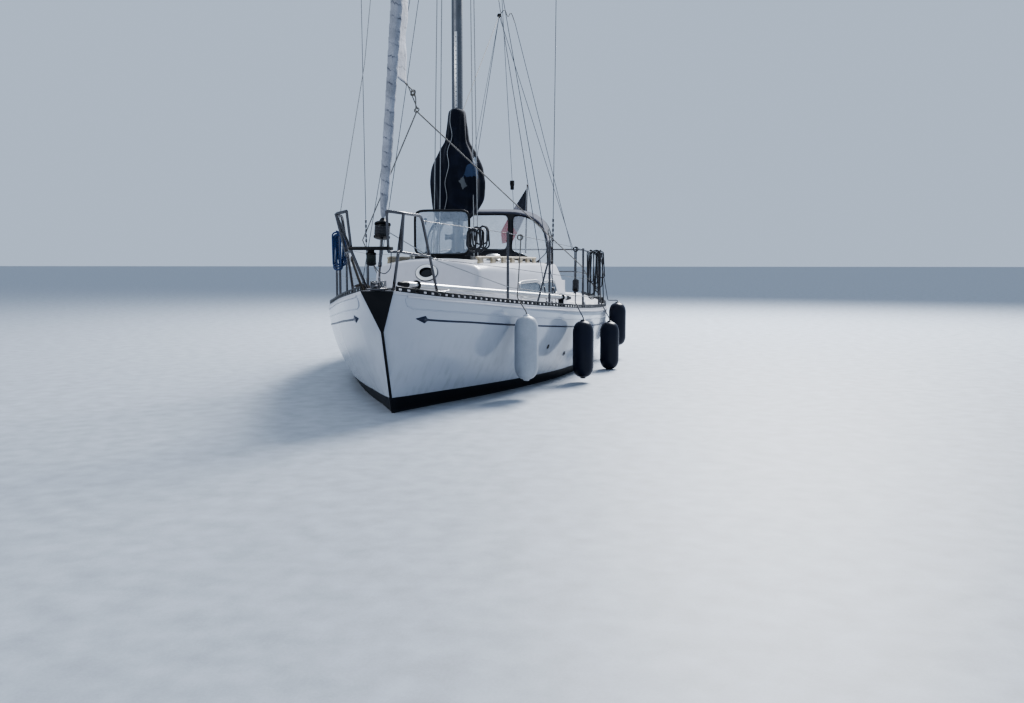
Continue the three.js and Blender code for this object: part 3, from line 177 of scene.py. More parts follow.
class YachtClothSettings(bpy.types.PropertyGroup):
    """Colours of the cloth, rope and fenders"""
    canvas: colour_property("Canvas", "Sail cover", (0.004, 0.006, 0.014))
    sailcloth: colour_property("Sailcloth", "Strip on the rolled headsail", (0.36, 0.38, 0.44))
    blue_rope: colour_property("Blue rope", "Coil on the bow rail", (0.008, 0.045, 0.16))
    black_rope: colour_property("Black rope", "Coils on the port rail", (0.012, 0.013, 0.018))
    white_rope: colour_property("White rope", "Halyards and control lines", (0.34, 0.35, 0.36))
    grey_fender: colour_property("Grey fender", "First fender", (0.44, 0.47, 0.52))
    navy_fender: colour_property("Navy fenders", "The other fenders", (0.006, 0.009, 0.024))
    fold_depth: length_property("Fold depth", "Depth of the folds in the sail cover", 0.018)


class YachtRigSettings(bpy.types.PropertyGroup):
    """Sizes of the rig and its metals"""
    alloy: colour_property("Alloy", "Mast, boom and pole", (0.17, 0.18, 0.20))
    # The steel is coloured dark, a painted reflection of dark surroundings
    steel: colour_property("Steel", "Rails and wires", (0.13, 0.13, 0.14))
    wire: length_property("Wire", "Radius of the stays", 0.004)
    lifeline: length_property("Lifeline", "Radius of the guard wires", 0.003)
    tube_sides: IntProperty(name="Tube sides", description="Sides of a rail tube", default=14, min=6)


class YachtStageSettings(bpy.types.PropertyGroup):
    """Floor and light"""
    floor: colour_property("Floor", "Plain floor at the waterline", (0.42, 0.46, 0.52))
    sky: colour_property("Sky", "Soft light from all round", (0.62, 0.74, 0.92))
    sky_strength: FloatProperty(name="Sky strength", description="Strength of the soft light", default=0.72)
    key_power: FloatProperty(name="Key power", description="Power of the large lamp", default=8000.0,
                             unit="POWER")
    fill_power: FloatProperty(name="Fill power", description="Power of the fill lamp", default=700.0,
                              unit="POWER")


SETTINGS = {"yacht_hull": YachtHullSettings, "yacht_cloth": YachtClothSettings,
            "yacht_rig": YachtRigSettings, "yacht_stage": YachtStageSettings}


def setting(name):
    """Value of a setting, from the group that holds it"""
    group = next(key for key, cls in SETTINGS.items() if name in cls.__annotations__)
    return getattr(getattr(bpy.context.scene, group), name)


# Places on the boat

def at(s, y, z):
    return Vector((STEM_X - s, y, z))


def between(table, x):
    """Row of a table at x, on straight lines"""
    last = next((i for i, row in enumerate(table) if row[0] >= x), len(table) - 1)
    a, b = table[max(0, last - 1)], table[max(1, last)]
    t = min(1.0, max(0.0, (x - a[0]) / (b[0] - a[0])))
    return [p + t * (q - p) for p, q in zip(a, b)]


def column(index, s):
    """Value of one column of STATIONS at s, on a smooth curve"""
    k = 0
    while k < len(STATIONS) - 2 and s > STATIONS[k + 1][0]:
        k += 1

    def row(i):
        return STATIONS[max(0, min(len(STATIONS) - 1, i))]

    def slope(i):
        before, after = row(i - 1), row(i + 1)
        return (after[index] - before[index]) / (after[0] - before[0])

    a, b = row(k), row(k + 1)
    span = b[0] - a[0]
    t = (s - a[0]) / span
    t2, t3 = t * t, t * t * t
    start, end = (2 * t3 - 3 * t2 + 1) * a[index], (3 * t2 - 2 * t3) * b[index]
    return start + end + (t3 - 2 * t2 + t) * slope(k) * span + (t3 - t2) * slope(k + 1) * span


def beam(s):
    return column(1, s)


def sheer(s):
    return column(2, s)


def hull_frame_point(s, turn, side):
    half, top, low, full = (column(i, s) for i in range(1, 5))
    z = top - (top - low) * math.cos(turn) ** (2 / full)
    if s <= 0:
        rise = min(1.0, max(0.0, (z - WEDGE_FOOT) / (STEM_SHEER - WEDGE_FOOT)))
        y = STEM_HALF + rise * (WEDGE_HALF - STEM_HALF)
    else:
        y = max(STEM_HALF, half * math.sin(turn) ** (2 / full))
    rake = STEM_RAKE * max(0.0, 1 - s / RAKE_END) ** 2
    return at(s + rake * (top - z), side * y, z)


def hull_point(s, turn, side):
    """Point of the hull's skin: turn is 0 at the bottom and a quarter circle at the deck edge"""
    if s >= FIRST_FRAME:
        return hull_frame_point(s, turn, side)
    stem, first = hull_frame_point(0.0, turn, side), hull_frame_point(FIRST_FRAME, turn, side)
    return stem.lerp(first, s / FIRST_FRAME)


def on_hull(s, z, side, out=0.0):
    """Point of the skin at a height, moved out along its normal"""
    top, low, full = sheer(s), column(3, s), column(4, s)
    share = min(1.0, max(0.0, (top - z) / (top - low)))
    turn = math.acos(share ** (full / 2))
    step = 0.01
    here = hull_point(s, turn, side)
    along = hull_point(s + step, turn, side) - here
    up = hull_point(s, max(turn - step, 0.0), side) - here
    normal = along.cross(up)
    if normal.length > 0:
        normal.normalize()
    if normal.y * side < 0:
        normal.negate()
    return here + out * normal


def deck_z(s, y):
    share = y / beam(s)
    camber = DECK_CAMBER * beam(s) / beam(WIDEST_S) * (1 - share * share)
    return sheer(s) + DECK_THICKNESS + camber


def roof_row(s):
    """Row of ROOF at s, its breaks rounded"""
    rows = [between(ROOF, s + shift) for shift in ROOF_FILLET]
    return [sum(values) / len(rows) for values in zip(*rows)]


def roof_z(s, y):
    *_, edge, edge_z, crown = roof_row(s)
    return edge_z + (crown - edge_z) * (1 - (y / edge) ** 2)


def wall_y(s, z):
    """Half-breadth of the coachroof's side at a height"""
    _, foot, knuckle, knuckle_z, edge, edge_z, _ = roof_row(s)
    base = sheer(s) + 0.006
    if z > knuckle_z:
        return knuckle + (edge - knuckle) * (z - knuckle_z) / (edge_z - knuckle_z)
    return foot + (knuckle - foot) * (z - base) / (knuckle_z - base)


def swung(point):
    """Place of a point of the boom: the boom lies off to starboard, turned about the gooseneck"""
    pivot = at(GOOSENECK_S, 0, 0)
    return pivot + Matrix.Rotation(BOOM_SET, 3, "Z") @ (Vector(point) - pivot)


def boom_point(s, up=0.0):
    return at(s, 0.0, BOOM_Z + (s - GOOSENECK_S) * BOOM_TILT + up)


def rail_y(s):
    return beam(s) - STANCHION_INSET


def lifeline_points(level):
    """Points of a guard wire: level 1 is the upper one and 0.5 the lower"""
    bow = (0.175, 0.336, 1.640) if level == 1 else (0.400, 0.375, 1.330)
    up = GUARD_HEIGHT - 0.008 if level == 1 else GUARD_HEIGHT / 2
    posts = STANCHIONS + [PUSHPIT_LEG - 0.016]
    return [bow] + [(s, rail_y(s), deck_z(s, rail_y(s)) + up) for s in posts]


def on_lifeline(level, s):
    points = lifeline_points(level)
    i = max(1, next(i for i, p in enumerate(points) if p[0] >= s))
    a, b = points[i - 1], points[i]
    t = (s - a[0]) / (b[0] - a[0])
    return a[1] + t * (b[1] - a[1]), a[2] + t * (b[2] - a[2])


def stay_point(z):
    t = (z - STAY_FOOT[1]) / (STAY_HEAD[1] - STAY_FOOT[1])
    return at(STAY_FOOT[0] + t * (STAY_HEAD[0] - STAY_FOOT[0]), 0.0, z)


# Making meshes

def patch(bm, across, along, place, size=(1.0, 1.0)):
    """Grid of faces, each corner moved to place(u, v), with a UV map of the given size"""
    made = bmesh.ops.create_grid(bm, x_segments=across, y_segments=along, size=1.0)["verts"]
    uv = bm.loops.layers.uv.verify()
    share = {v: ((v.co.x + 1) / 2, (v.co.y + 1) / 2) for v in made}
    for face in {f for v in made for f in v.link_faces}:
        for loop in face.loops:
            u, w = share[loop.vert]
            loop[uv].uv = (u * size[0], w * size[1])
    for v, (u, w) in share.items():
        v.co = place(u, w)
    return made


def squircle(u, v, power):
    """Point of the square from 0 to 1, its corners drawn in to a rounded outline from -1 to 1"""
    x, y = 2 * u - 1, 2 * v - 1
    reach = max(abs(x), abs(y))
    if reach < 1e-6:
        return x, y
    c, d = abs(x) / reach, abs(y) / reach
    shrink = 1.0 / (c ** power + d ** power) ** (1 / power)
    return x * shrink, y * shrink


def squircle_loop(steps, power):
    points = []
    for i in range(steps):
        turn = 2 * math.pi * i / steps
        c, d = math.cos(turn), math.sin(turn)
        reach = (abs(c) ** power + abs(d) ** power) ** (-1 / power)
        points.append((c * reach, d * reach))
    return points


def curve_through(points, steps):
    """More points on a smooth curve through the given ones"""
    points = [Vector(p) for p in points]
    ends = [2 * points[0] - points[1]] + points + [2 * points[-1] - points[-2]]
    smooth = []
    for a, b, c, d in zip(ends, ends[1:], ends[2:], ends[3:]):
        for i in range(steps):
            t = i / steps
            smooth.append(0.5 * (2 * b + t * (c - a) + t * t * (2 * a - 5 * b + 4 * c - d)
                                 + t ** 3 * (3 * b - a - 3 * c + d)))
    return smooth + [points[-1]]


def bent(points, radius, steps=5):
    """A run of straight bars with its corners turned to arcs"""
    points = [Vector(p) for p in points]
    run = [points[0]]
    for a, b, c in zip(points, points[1:], points[2:]):
        reach = min(radius, (a - b).length * 0.45, (c - b).length * 0.45)
        first, last = b + (a - b).normalized() * reach, b + (c - b).normalized() * reach
        for i in range(steps + 1):
            t = i / steps
            run.append(first.lerp(b, t).lerp(b.lerp(last, t), t))
    return run + [points[-1]]


def edges_of(verts):
    return list({e for v in verts for e in v.link_edges})


def close_tube(bm, made):
    """Merges the seam of a tube and caps what is still open"""
    bmesh.ops.remove_doubles(bm, verts=made, dist=1e-6)
    ends = [e for e in edges_of(v for v in made if v.is_valid) if e.is_boundary]
    if ends:
        bmesh.ops.holes_fill(bm, edges=ends, sides=0)


def tube(bm, points, radius, sides, up=None, flat=1.0, closed=False):
    """Tube along points. radius is a number or a function of the share of its length"""
    points = [Vector(p) for p in points]
    if closed:
        points = points + [points[0]]
    count = len(points)
    tangents = []
    for i in range(count):
        before = points[i - 1] if i else points[-2 if closed else 0]
        after = points[i + 1] if i + 1 < count else points[1 if closed else -1]
        tangents.append((after - before).normalized())
    normal = tangents[0].orthogonal()
    frames, run = [], [0.0]
    for i, t in enumerate(tangents):
        across = Vector(up) if up else normal
        normal = (across - t * t.dot(across)).normalized()
        frames.append((normal, t.cross(normal)))
        if i:
            run.append(run[-1] + (points[i] - points[i - 1]).length)
    size = radius if callable(radius) else lambda share: radius

    def place(u, v):
        i = round(v * (count - 1))
        turn = 2 * math.pi * u
        r = size(run[i] / run[-1])
        n, b = frames[i]
        return points[i] + r * (math.cos(turn) * n + flat * math.sin(turn) * b)

    close_tube(bm, patch(bm, sides, count - 1, place, (2 * math.pi * size(0.5), run[-1])))


def lathe(bm, profile, foot, axis, steps=20):
    """Profile of radius and height, turned round an axis that starts at foot"""
    old = set(bm.verts)
    corners = [bm.verts.new((max(r, 0.0), 0.0, h)) for r, h in profile]
    edges = [bm.edges.new(pair) for pair in zip(corners, corners[1:])]
    bmesh.ops.spin(bm, geom=corners + edges, cent=(0, 0, 0), axis=(0, 0, 1), dvec=(0, 0, 0),
                   angle=2 * math.pi, steps=steps, use_merge=True, use_duplicate=False)
    made = [v for v in bm.verts if v not in old]
    bmesh.ops.remove_doubles(bm, verts=made, dist=1e-6)
    made = [v for v in made if v.is_valid]
    turn = Vector((0, 0, 1)).rotation_difference(Vector(axis)).to_matrix()
    bmesh.ops.rotate(bm, verts=made, cent=(0, 0, 0), matrix=turn)
    bmesh.ops.translate(bm, verts=made, vec=foot)


def disc(bm, place, axis, radius, low, high, steps=20):
    lathe(bm, [(0.0, low), (radius, low), (radius, high), (0.0, high)], place, axis, steps)


def sheave(bm, place, radius):
    """Grooved wheel that turns athwartships"""
    half = 0.012
    profile = [(0.0, -half), (radius, -half), (radius - 0.006, 0.0), (radius, half), (0.0, half)]
    lathe(bm, profile, place, (0, 1, 0))


def soften(bm, edges, width):
    bmesh.ops.bevel(bm, geom=edges, offset=width, offset_type="OFFSET", segments=2, profile=0.5,
                    affect="EDGES", material=-1, clamp_overlap=True)


def block(bm, low, high, edge, turn=None):
    """Box between two corners, with softened edges, turned about its middle"""
    low, high = Vector(low), Vector(high)
    made = bmesh.ops.create_cube(bm, size=1.0)["verts"]
    bmesh.ops.scale(bm, verts=made, vec=[abs(x) for x in high - low])
    if turn is not None:
        bmesh.ops.rotate(bm, verts=made, cent=(0, 0, 0), matrix=turn)
    bmesh.ops.translate(bm, verts=made, vec=(low + high) / 2)
    soften(bm, edges_of(made), edge)


def bar(bm, a, b, width, height, edge):
    """Box from a to b, width across and height up"""
    along = (b - a).normalized()
    across = Vector((0, 0, 1)).cross(along)
    across = across.normalized() if across.length > 1e-4 else Vector((0, 1, 0))
    turn = Matrix((along, across, along.cross(across))).transposed()
    half = Vector(((b - a).length, width, height)) / 2
    middle = (a + b) / 2
    block(bm, middle - half, middle + half, edge, turn)


def cut_hole(bm, unit, place, power):
    """Opening with a clean round-cornered edge: unit gives a point's place in it, from -1 to 1, or
    None when it lies elsewhere, and place is the way back"""
    def reach(point):
        x, y = unit(point) or (9.0, 9.0)
        return (abs(x) ** power + abs(y) ** power) ** (1 / power), x, y

    inside = [f for f in bm.faces if reach(f.calc_center_median())[0] < 1]
    edge = {v for f in inside for v in f.verts}
    bmesh.ops.delete(bm, geom=inside, context="FACES")
    for v in edge:
        if v.is_valid:
            r, x, y = reach(v.co)
            v.co = place(x / r, y / r)


def of_node(node, edge, sharp=30.0):
    """Copy of a solid's mesh with its doubles merged and its sharp edges softened"""
    bm = bmesh.new()
    bm.from_mesh(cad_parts[node].data)
    bmesh.ops.remove_doubles(bm, verts=bm.verts, dist=2e-5)
    bmesh.ops.dissolve_limit(bm, angle_limit=math.radians(0.6), use_dissolve_boundaries=False,
                             verts=bm.verts, edges=bm.edges)
    limit = math.radians(sharp)
    soften(bm, [e for e in bm.edges if len(e.link_faces) == 2 and e.calc_face_angle() > limit], edge)
    return bm


def make(name, bm, look, body="root", stands_for=(), sharp=40.0, wall=0.0, slot=None, recalc=True):
    """Turns a bmesh into a finished piece that rides on its body; the slot, its finish's or its own, is
    worked out but not used
    """
    if recalc:
        bmesh.ops.recalc_face_normals(bm, faces=bm.faces)
    mesh = bpy.data.meshes.new(name)
    bm.to_mesh(mesh)
    bm.free()
    mesh.materials.append(finish(look))
    mesh.shade_smooth()
    mesh.set_sharp_from_angle(angle=math.radians(sharp))
    piece = bpy.data.objects.new(name, mesh)
    bpy.context.scene.collection.objects.link(piece)
    if wall:
        shell = piece.modifiers.new("Wall", "SOLIDIFY")
        shell.thickness = abs(wall)
        shell.offset = -1.0 if wall > 0 else 0.0
    if body:
        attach(piece, body)
    if stands_for:
        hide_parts(*stands_for)
    slot = slot or FINISHES[look][0]
    return piece


def finish_node(node, look):
    """Gives a solid whose shape is right its material"""
    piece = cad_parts[node]
    piece.data.materials.clear()
    piece.data.materials.append(finish(look))


# Material nodes

FLOAT, COLOUR = "NodeSocketFloat", "NodeSocketColor"


def feed(tree, socket, value):
    """Links a value to a socket, or sets it as the socket's own"""
    if isinstance(value, bpy.types.NodeSocket):
        tree.links.new(value, socket)
    else:
        socket.default_value = value


def fill(tree, sockets, **values):
    """Feeds sockets by their names, in lower case with underscores"""
    named = {socket.name.lower().replace(" ", "_"): socket for socket in sockets}
    for key, value in values.items():
        feed(tree, named[key], value)


def add(tree, kind, inputs=None, **attributes):
    node = tree.nodes.new(kind)
    for key, value in attributes.items():
        setattr(node, key, value)
    for key, value in (inputs or {}).items():
        feed(tree, node.inputs[key], value)
    return node


def coordinates(tree, kind="Object"):
    return add(tree, "ShaderNodeTexCoord").outputs[kind]


def parts(tree, vector):
    return add(tree, "ShaderNodeSeparateXYZ", {0: vector}).outputs


def math_node(tree, operation, a, b=0.0):
    return add(tree, "ShaderNodeMath", {0: a, 1: b}, operation=operation).outputs[0]


def times(tree, a, b):
    return math_node(tree, "MULTIPLY", a, b)


def plus(tree, a, b):
    return math_node(tree, "ADD", a, b)


def above(tree, value, limit):
    return math_node(tree, "GREATER_THAN", value, limit)


def ranged(tree, value, low, high):
    """Share from 0 to 1 of the way from low to high"""
    return add(tree, "ShaderNodeMapRange", {"Value": value, "From Min": low, "From Max": high}).outputs[0]


def scaled(tree, share, low, high):
    """Value between low and high"""
    return add(tree, "ShaderNodeMapRange", {"Value": share, "To Min": low, "To Max": high}).outputs[0]


def clouds(tree, place, scale, detail, distortion=0.0):
    return add(tree, "ShaderNodeTexNoise", {"Vector": place, "Scale": scale, "Detail": detail,
                                            "Distortion": distortion}).outputs[0]


def stretched(tree, place, scale):
    return add(tree, "ShaderNodeMapping", {"Vector": place, "Scale": scale}).outputs[0]


def mixed(tree, factor, a, b):
    return add(tree, "ShaderNodeMix", {0: factor, 6: a, 7: b}, data_type="RGBA").outputs[2]


# Node groups that the finishes share

def new_group(name, inputs, outputs):
    """Empty node group: inputs are names with a default number or colour, outputs are names with a kind"""
    tree = bpy.data.node_groups.new(name, "ShaderNodeTree")
    for label, default in inputs.items():
        kind = FLOAT if isinstance(default, float) else COLOUR
        tree.interface.new_socket(label, in_out="INPUT", socket_type=kind).default_value = default
    for label, kind in outputs.items():
        tree.interface.new_socket(label, in_out="OUTPUT", socket_type=kind)
    return tree, tree.nodes.new("NodeGroupInput").outputs, tree.nodes.new("NodeGroupOutput").inputs


def build_mottle():
    """Cloudy variation of a colour, with fine specks"""
    tree, given, out = new_group("Mottle", {"Colour": (0.5, 0.5, 0.5, 1), "Scale": 3.0, "Amount": 0.15},
                                 {"Colour": COLOUR, "Mask": FLOAT})
    place = coordinates(tree)
    cloud = clouds(tree, place, given["Scale"], 6.0)
    speck = clouds(tree, place, times(tree, given["Scale"], 14.0), 2.0)
    spread = ranged(tree, plus(tree, cloud, times(tree, speck, 0.35)), 0.45, 0.95)
    mask = times(tree, spread, given["Amount"])
    fill(tree, out, colour=mixed(tree, mask, given["Colour"], (0.03, 0.03, 0.028, 1)), mask=spread)
    return tree


def build_runs():
    """Streaks that run down a surface, stronger towards a height"""
    tree, given, out = new_group("Runs", {"Low": 0.0, "High": 0.5, "Amount": 0.3}, {"Mask": FLOAT})
    place = coordinates(tree)
    streak = clouds(tree, stretched(tree, place, (7.0, 7.0, 0.7)), 2.2, 5.0)
    fade = ranged(tree, parts(tree, place)[2], given["High"], given["Low"])
    mask = times(tree, fade, ranged(tree, streak, 0.48, 0.8))
    fill(tree, out, mask=times(tree, mask, given["Amount"]))
    return tree


def build_grain():
    """Fine random height, as sand in paint or the skin of vinyl"""
    tree, given, out = new_group("Grain", {"Scale": 400.0}, {"Height": FLOAT})
    fill(tree, out, height=clouds(tree, coordinates(tree), given["Scale"], 3.0))
    return tree


def build_weave():
    """Threads of a woven cloth on its UV map, and its slow creases"""
    tree, given, out = new_group("Weave", {"Threads": 900.0}, {"Height": FLOAT, "Tone": FLOAT})
    uv = coordinates(tree, "UV")
    warp, weft = (math_node(tree, "SINE", times(tree, way, given["Threads"])) for way in parts(tree, uv)[:2])
    crease = clouds(tree, uv, 5.0, 5.0, 1.2)
    height = plus(tree, times(tree, times(tree, warp, weft), 0.35), times(tree, crease, 6.0))
    fill(tree, out, height=height, tone=crease)
    return tree


def build_wood():
    """Long grain along X with darker rays"""
    tree, given, out = new_group("Wood grain", {"Light": (0.4, 0.2, 0.1, 1), "Dark": (0.1, 0.05, 0.02, 1),
                                                "Scale": 6.0}, {"Colour": COLOUR, "Height": FLOAT})
    ring = clouds(tree, stretched(tree, coordinates(tree), (0.6, 14.0, 14.0)), given["Scale"], 8.0, 0.6)
    fill(tree, out, colour=mixed(tree, ring, given["Dark"], given["Light"]), height=ring)
    return tree


def build_strands():
    """Twisted or braided strands round a rope, on its UV map in metres"""
    tree, given, out = new_group("Strands", {"Lay": 420.0}, {"Height": FLOAT, "Mask": FLOAT})
    across, along = (times(tree, way, given["Lay"]) for way in parts(tree, coordinates(tree, "UV"))[:2])
    left = math_node(tree, "SINE", plus(tree, across, along))
    right = math_node(tree, "SINE", math_node(tree, "SUBTRACT", across, along))
    braid = math_node(tree, "MAXIMUM", left, right)
    fill(tree, out, height=braid, mask=times(tree, plus(tree, braid, 1.0), 0.5))
    return tree


GROUPS = {"Mottle": build_mottle, "Runs": build_runs, "Grain": build_grain, "Weave": build_weave,
          "Wood grain": build_wood, "Strands": build_strands}


def use(tree, name, **inputs):
    """Outputs of a shared group with its own values"""
    group = bpy.data.node_groups.get(name) or GROUPS[name]()
    node = add(tree, "ShaderNodeGroup", node_tree=group)
    fill(tree, node.inputs, **inputs)
    return node.outputs


# Kinds of finish

def rgba(colour):
    return (*colour, 1.0)


def mottled(tree, colour, scale, amount):
    return use(tree, "Mottle", colour=rgba(colour), scale=scale, amount=amount)


def new_material(name, **values):
    """New material with a Principled BSDF, its sockets fed by their names"""
    material = bpy.data.materials.new(name)
    material.use_nodes = True
    tree = material.node_tree
    shader = tree.nodes["Principled BSDF"].inputs
    fill(tree, shader, **values)
    return material, tree, shader


def bump(tree, shader, height, strength, distance):
    node = add(tree, "ShaderNodeBump", {"Height": height, "Strength": strength, "Distance": distance})
    feed(tree, shader["Normal"], node.outputs[0])


def grained(tree, shader, scale, strength, distance):
    bump(tree, shader, use(tree, "Grain", scale=scale)["Height"], strength, distance)


def glossy_moulding(name, colour, roughness=0.2, amount=0.06, runs=None):
    """Gelcoat, with grime that has run down it between two heights if runs is given"""
    material, tree, shader = new_material(name, roughness=roughness, coat_weight=0.25, coat_roughness=0.08)
    base = mottled(tree, colour, 1.6, amount)["Colour"]
    if runs:
        low, high, strength = runs
        mask = use(tree, "Runs", low=low, high=high, amount=strength)["Mask"]
        base = mixed(tree, mask, base, (0.22, 0.19, 0.13, 1))
    fill(tree, shader, base_color=base)
    grained(tree, shader, 2.5, 0.12, 0.004)
    return material


def hull_paint(name):
    """White above the boot top, black at the water and antifouling below it"""
    material, tree, shader = new_material(name, coat_roughness=0.06)
    x, _, z = parts(tree, coordinates(tree))
    rise = times(tree, plus(tree, x, -1.5), 0.012)
    edge = plus(tree, math_node(tree, "MAXIMUM", rise, 0.0), setting("boot_top_height"))
    white = mottled(tree, setting("topsides"), 1.1, 0.05)["Colour"]
    stain = use(tree, "Runs", low=0.05, high=0.75, amount=0.40)["Mask"]
    white = mixed(tree, stain, white, (0.16, 0.16, 0.14, 1))
    weed = mottled(tree, setting("bottom"), 5.0, 0.7)["Colour"]
    low = mixed(tree, above(tree, z, 0.02), weed, rgba(setting("boot_top")))
    dry = above(tree, z, edge)
    fill(tree, shader, base_color=mixed(tree, dry, low, white), roughness=scaled(tree, dry, 0.5, 0.16),
         coat_weight=scaled(tree, dry, 0.0, 0.3), specular_ior_level=scaled(tree, dry, 0.15, 0.5))
    grained(tree, shader, 1.8, 0.2, 0.006)
    return material


def grip_paint(name, colour):
    material, tree, shader = new_material(name, roughness=0.75)
    fill(tree, shader, base_color=mottled(tree, colour, 4.0, 0.22)["Colour"])
    grained(tree, shader, 900.0, 0.7, 0.002)
    return material


def dull_paint(name, colour, roughness, grain=220.0, gloss=0.5):
    material, tree, shader = new_material(name, roughness=roughness, specular_ior_level=gloss)
    fill(tree, shader, base_color=mottled(tree, colour, 6.0, 0.3)["Colour"])
    grained(tree, shader, grain, 0.3, 0.001)
    return material


def metal(name, colour, roughness):
    material, tree, shader = new_material(name, metallic=1.0)
    cloud = mottled(tree, colour, 9.0, 0.18)
    worn = scaled(tree, cloud["Mask"], roughness, roughness + 0.14)
    fill(tree, shader, base_color=cloud["Colour"], roughness=worn)
    grained(tree, shader, 90.0, 0.06, 0.001)
    return material


def wood(name, colour):
    material, tree, shader = new_material(name, roughness=0.48, coat_weight=0.15, coat_roughness=0.3)
    dark = rgba(c * 0.38 for c in colour)
    grain = use(tree, "Wood grain", light=rgba(colour), dark=dark, scale=5.0)
    fill(tree, shader, base_color=grain["Colour"])
    bump(tree, shader, grain["Height"], 0.3, 0.002)
    return material


def cloth(name, colour, crease_colour, sheen=0.1, threads=900.0, spots=(), fore=None):
    """Woven canvas, paler where it is creased. Spots are a place, a reach and a colour each; fore is
    an x and the colour ahead of it"""
    material, tree, shader = new_material(name, roughness=0.9, sheen_weight=sheen, sheen_roughness=0.45,
                                          specular_ior_level=0.25)
    weave = use(tree, "Weave", threads=threads)
    place = coordinates(tree)
    # Paler colour where the crease pattern rises
    base = mixed(tree, ranged(tree, weave["Tone"], 0.5, 0.8), rgba(colour), rgba(crease_colour))
    if fore:
        x, paint = fore
        base = mixed(tree, above(tree, parts(tree, place)[0], x), base, rgba(paint))
    ragged_edge = times(tree, plus(tree, clouds(tree, place, 11.0, 2.0), -0.5), 0.22)
    # On the sail cover the first two spots are painted highlights on folds and the third is a tag
    for centre, reach, paint in spots:
        away = add(tree, "ShaderNodeVectorMath", {0: place, 1: centre}, operation="DISTANCE").outputs["Value"]
        near = math_node(tree, "LESS_THAN", plus(tree, away, ragged_edge), reach)
        base = mixed(tree, near, base, rgba(paint))
    fill(tree, shader, base_color=base)
    bump(tree, shader, weave["Height"], 0.35, 0.0012)
    return material


def rope(name, colour, fleck):
    material, tree, shader = new_material(name, roughness=0.8, sheen_weight=0.25)
    strands = use(tree, "Strands", lay=700.0)
    fill(tree, shader, base_color=mixed(tree, strands["Mask"], rgba(fleck), rgba(colour)))
    bump(tree, shader, strands["Height"], 0.6, 0.0012)
    return material


def vinyl(name, colour, gloss):
    """Soft plastic, darker in streaks towards its foot"""
    material, tree, shader = new_material(name, roughness=0.36, specular_ior_level=gloss)
    base = mottled(tree, colour, 5.0, 0.25)["Colour"]
    darker_low = use(tree, "Runs", low=0.1, high=0.75, amount=0.5)["Mask"]
    fill(tree, shader, base_color=mixed(tree, darker_low, base, rgba(c * 0.35 for c in colour)))
    grained(tree, shader, 160.0, 0.15, 0.001)
    return material


def clear_sheet(name, tint, roughness, alpha):
    """Clear pane that shows as a tinted film"""
    material, tree, shader = new_material(name, roughness=roughness, metallic=0.0, ior=1.45)
    wave = mottled(tree, tint, 6.0, 0.1)
    fill(tree, shader, base_color=wave["Colour"], alpha=scaled(tree, wave["Mask"], alpha, alpha + 0.12))
    grained(tree, shader, 7.0, 0.25, 0.006)
    return material


def rolled_sail(name, colour):
    """Pale strip with darker turns: the UV runs round the roll and up it, in metres"""
    material, tree, shader = new_material(name, roughness=0.8, sheen_weight=0.1)
    uv = coordinates(tree, "UV")
    u, v, _ = parts(tree, uv)
    wobble = clouds(tree, uv, 9.0, 4.0)
    turn = plus(tree, plus(tree, times(tree, v, 1 / ROLL_PITCH), u), times(tree, wobble, 0.55))
    edge = ranged(tree, math_node(tree, "FRACT", turn), 0.84, 0.99)
    shown = ranged(tree, clouds(tree, uv, 3.4, 3.0), 0.44, 0.60)
    band = times(tree, edge, plus(tree, times(tree, shown, 0.75), 0.20))
    cloud = mottled(tree, colour, 7.0, 0.55)["Colour"]
    fill(tree, shader, base_color=mixed(tree, band, cloud, (0.035, 0.04, 0.06, 1)))
    bump(tree, shader, wobble, 0.8, 0.014)
    return material


def ensign_cloth(name):
    """Blue, white and red bands down the furled cloth's UV map"""
    material, tree, shader = new_material(name, roughness=0.85, sheen_weight=0.2)
    v = parts(tree, coordinates(tree, "UV"))[1]
    cool = mixed(tree, above(tree, v, 0.31), (0.012, 0.016, 0.030, 1), (0.20, 0.20, 0.23, 1))
    fill(tree, shader, base_color=mixed(tree, above(tree, v, 0.60), cool, (0.26, 0.022, 0.03, 1)))
    bump(tree, shader, use(tree, "Weave", threads=1500.0)["Height"], 0.3, 0.001)
    return material


# The finishes

# Marks on the sail cover: the first two are painted highlights on its folds, the third is a tag. Columns:
# place, reach, colour
COVER_HIGHLIGHTS_AND_TAG = [((1.16, 0.205, 2.32), 0.090, (0.035, 0.055, 0.105)),
               ((1.10, 0.250, 2.45), 0.035, (0.25, 0.30, 0.36)),
               ((1.225, 0.120, 2.16), 0.030, (0.10, 0.11, 0.12))]
# The sprayhood's canvas is made paler than the cover's navy, a painted sky reflection on its top and sides;
# ahead of this x its front keeps a near-black navy
HOOD_FORE = (STEM_X - 5.575, (0.006, 0.008, 0.014))


def in_slot(slot, kind, *values, **options):
    """Row of FINISHES: the record's slot, the kind of finish and what it takes. A name is a setting"""
    return slot, kind, values, options


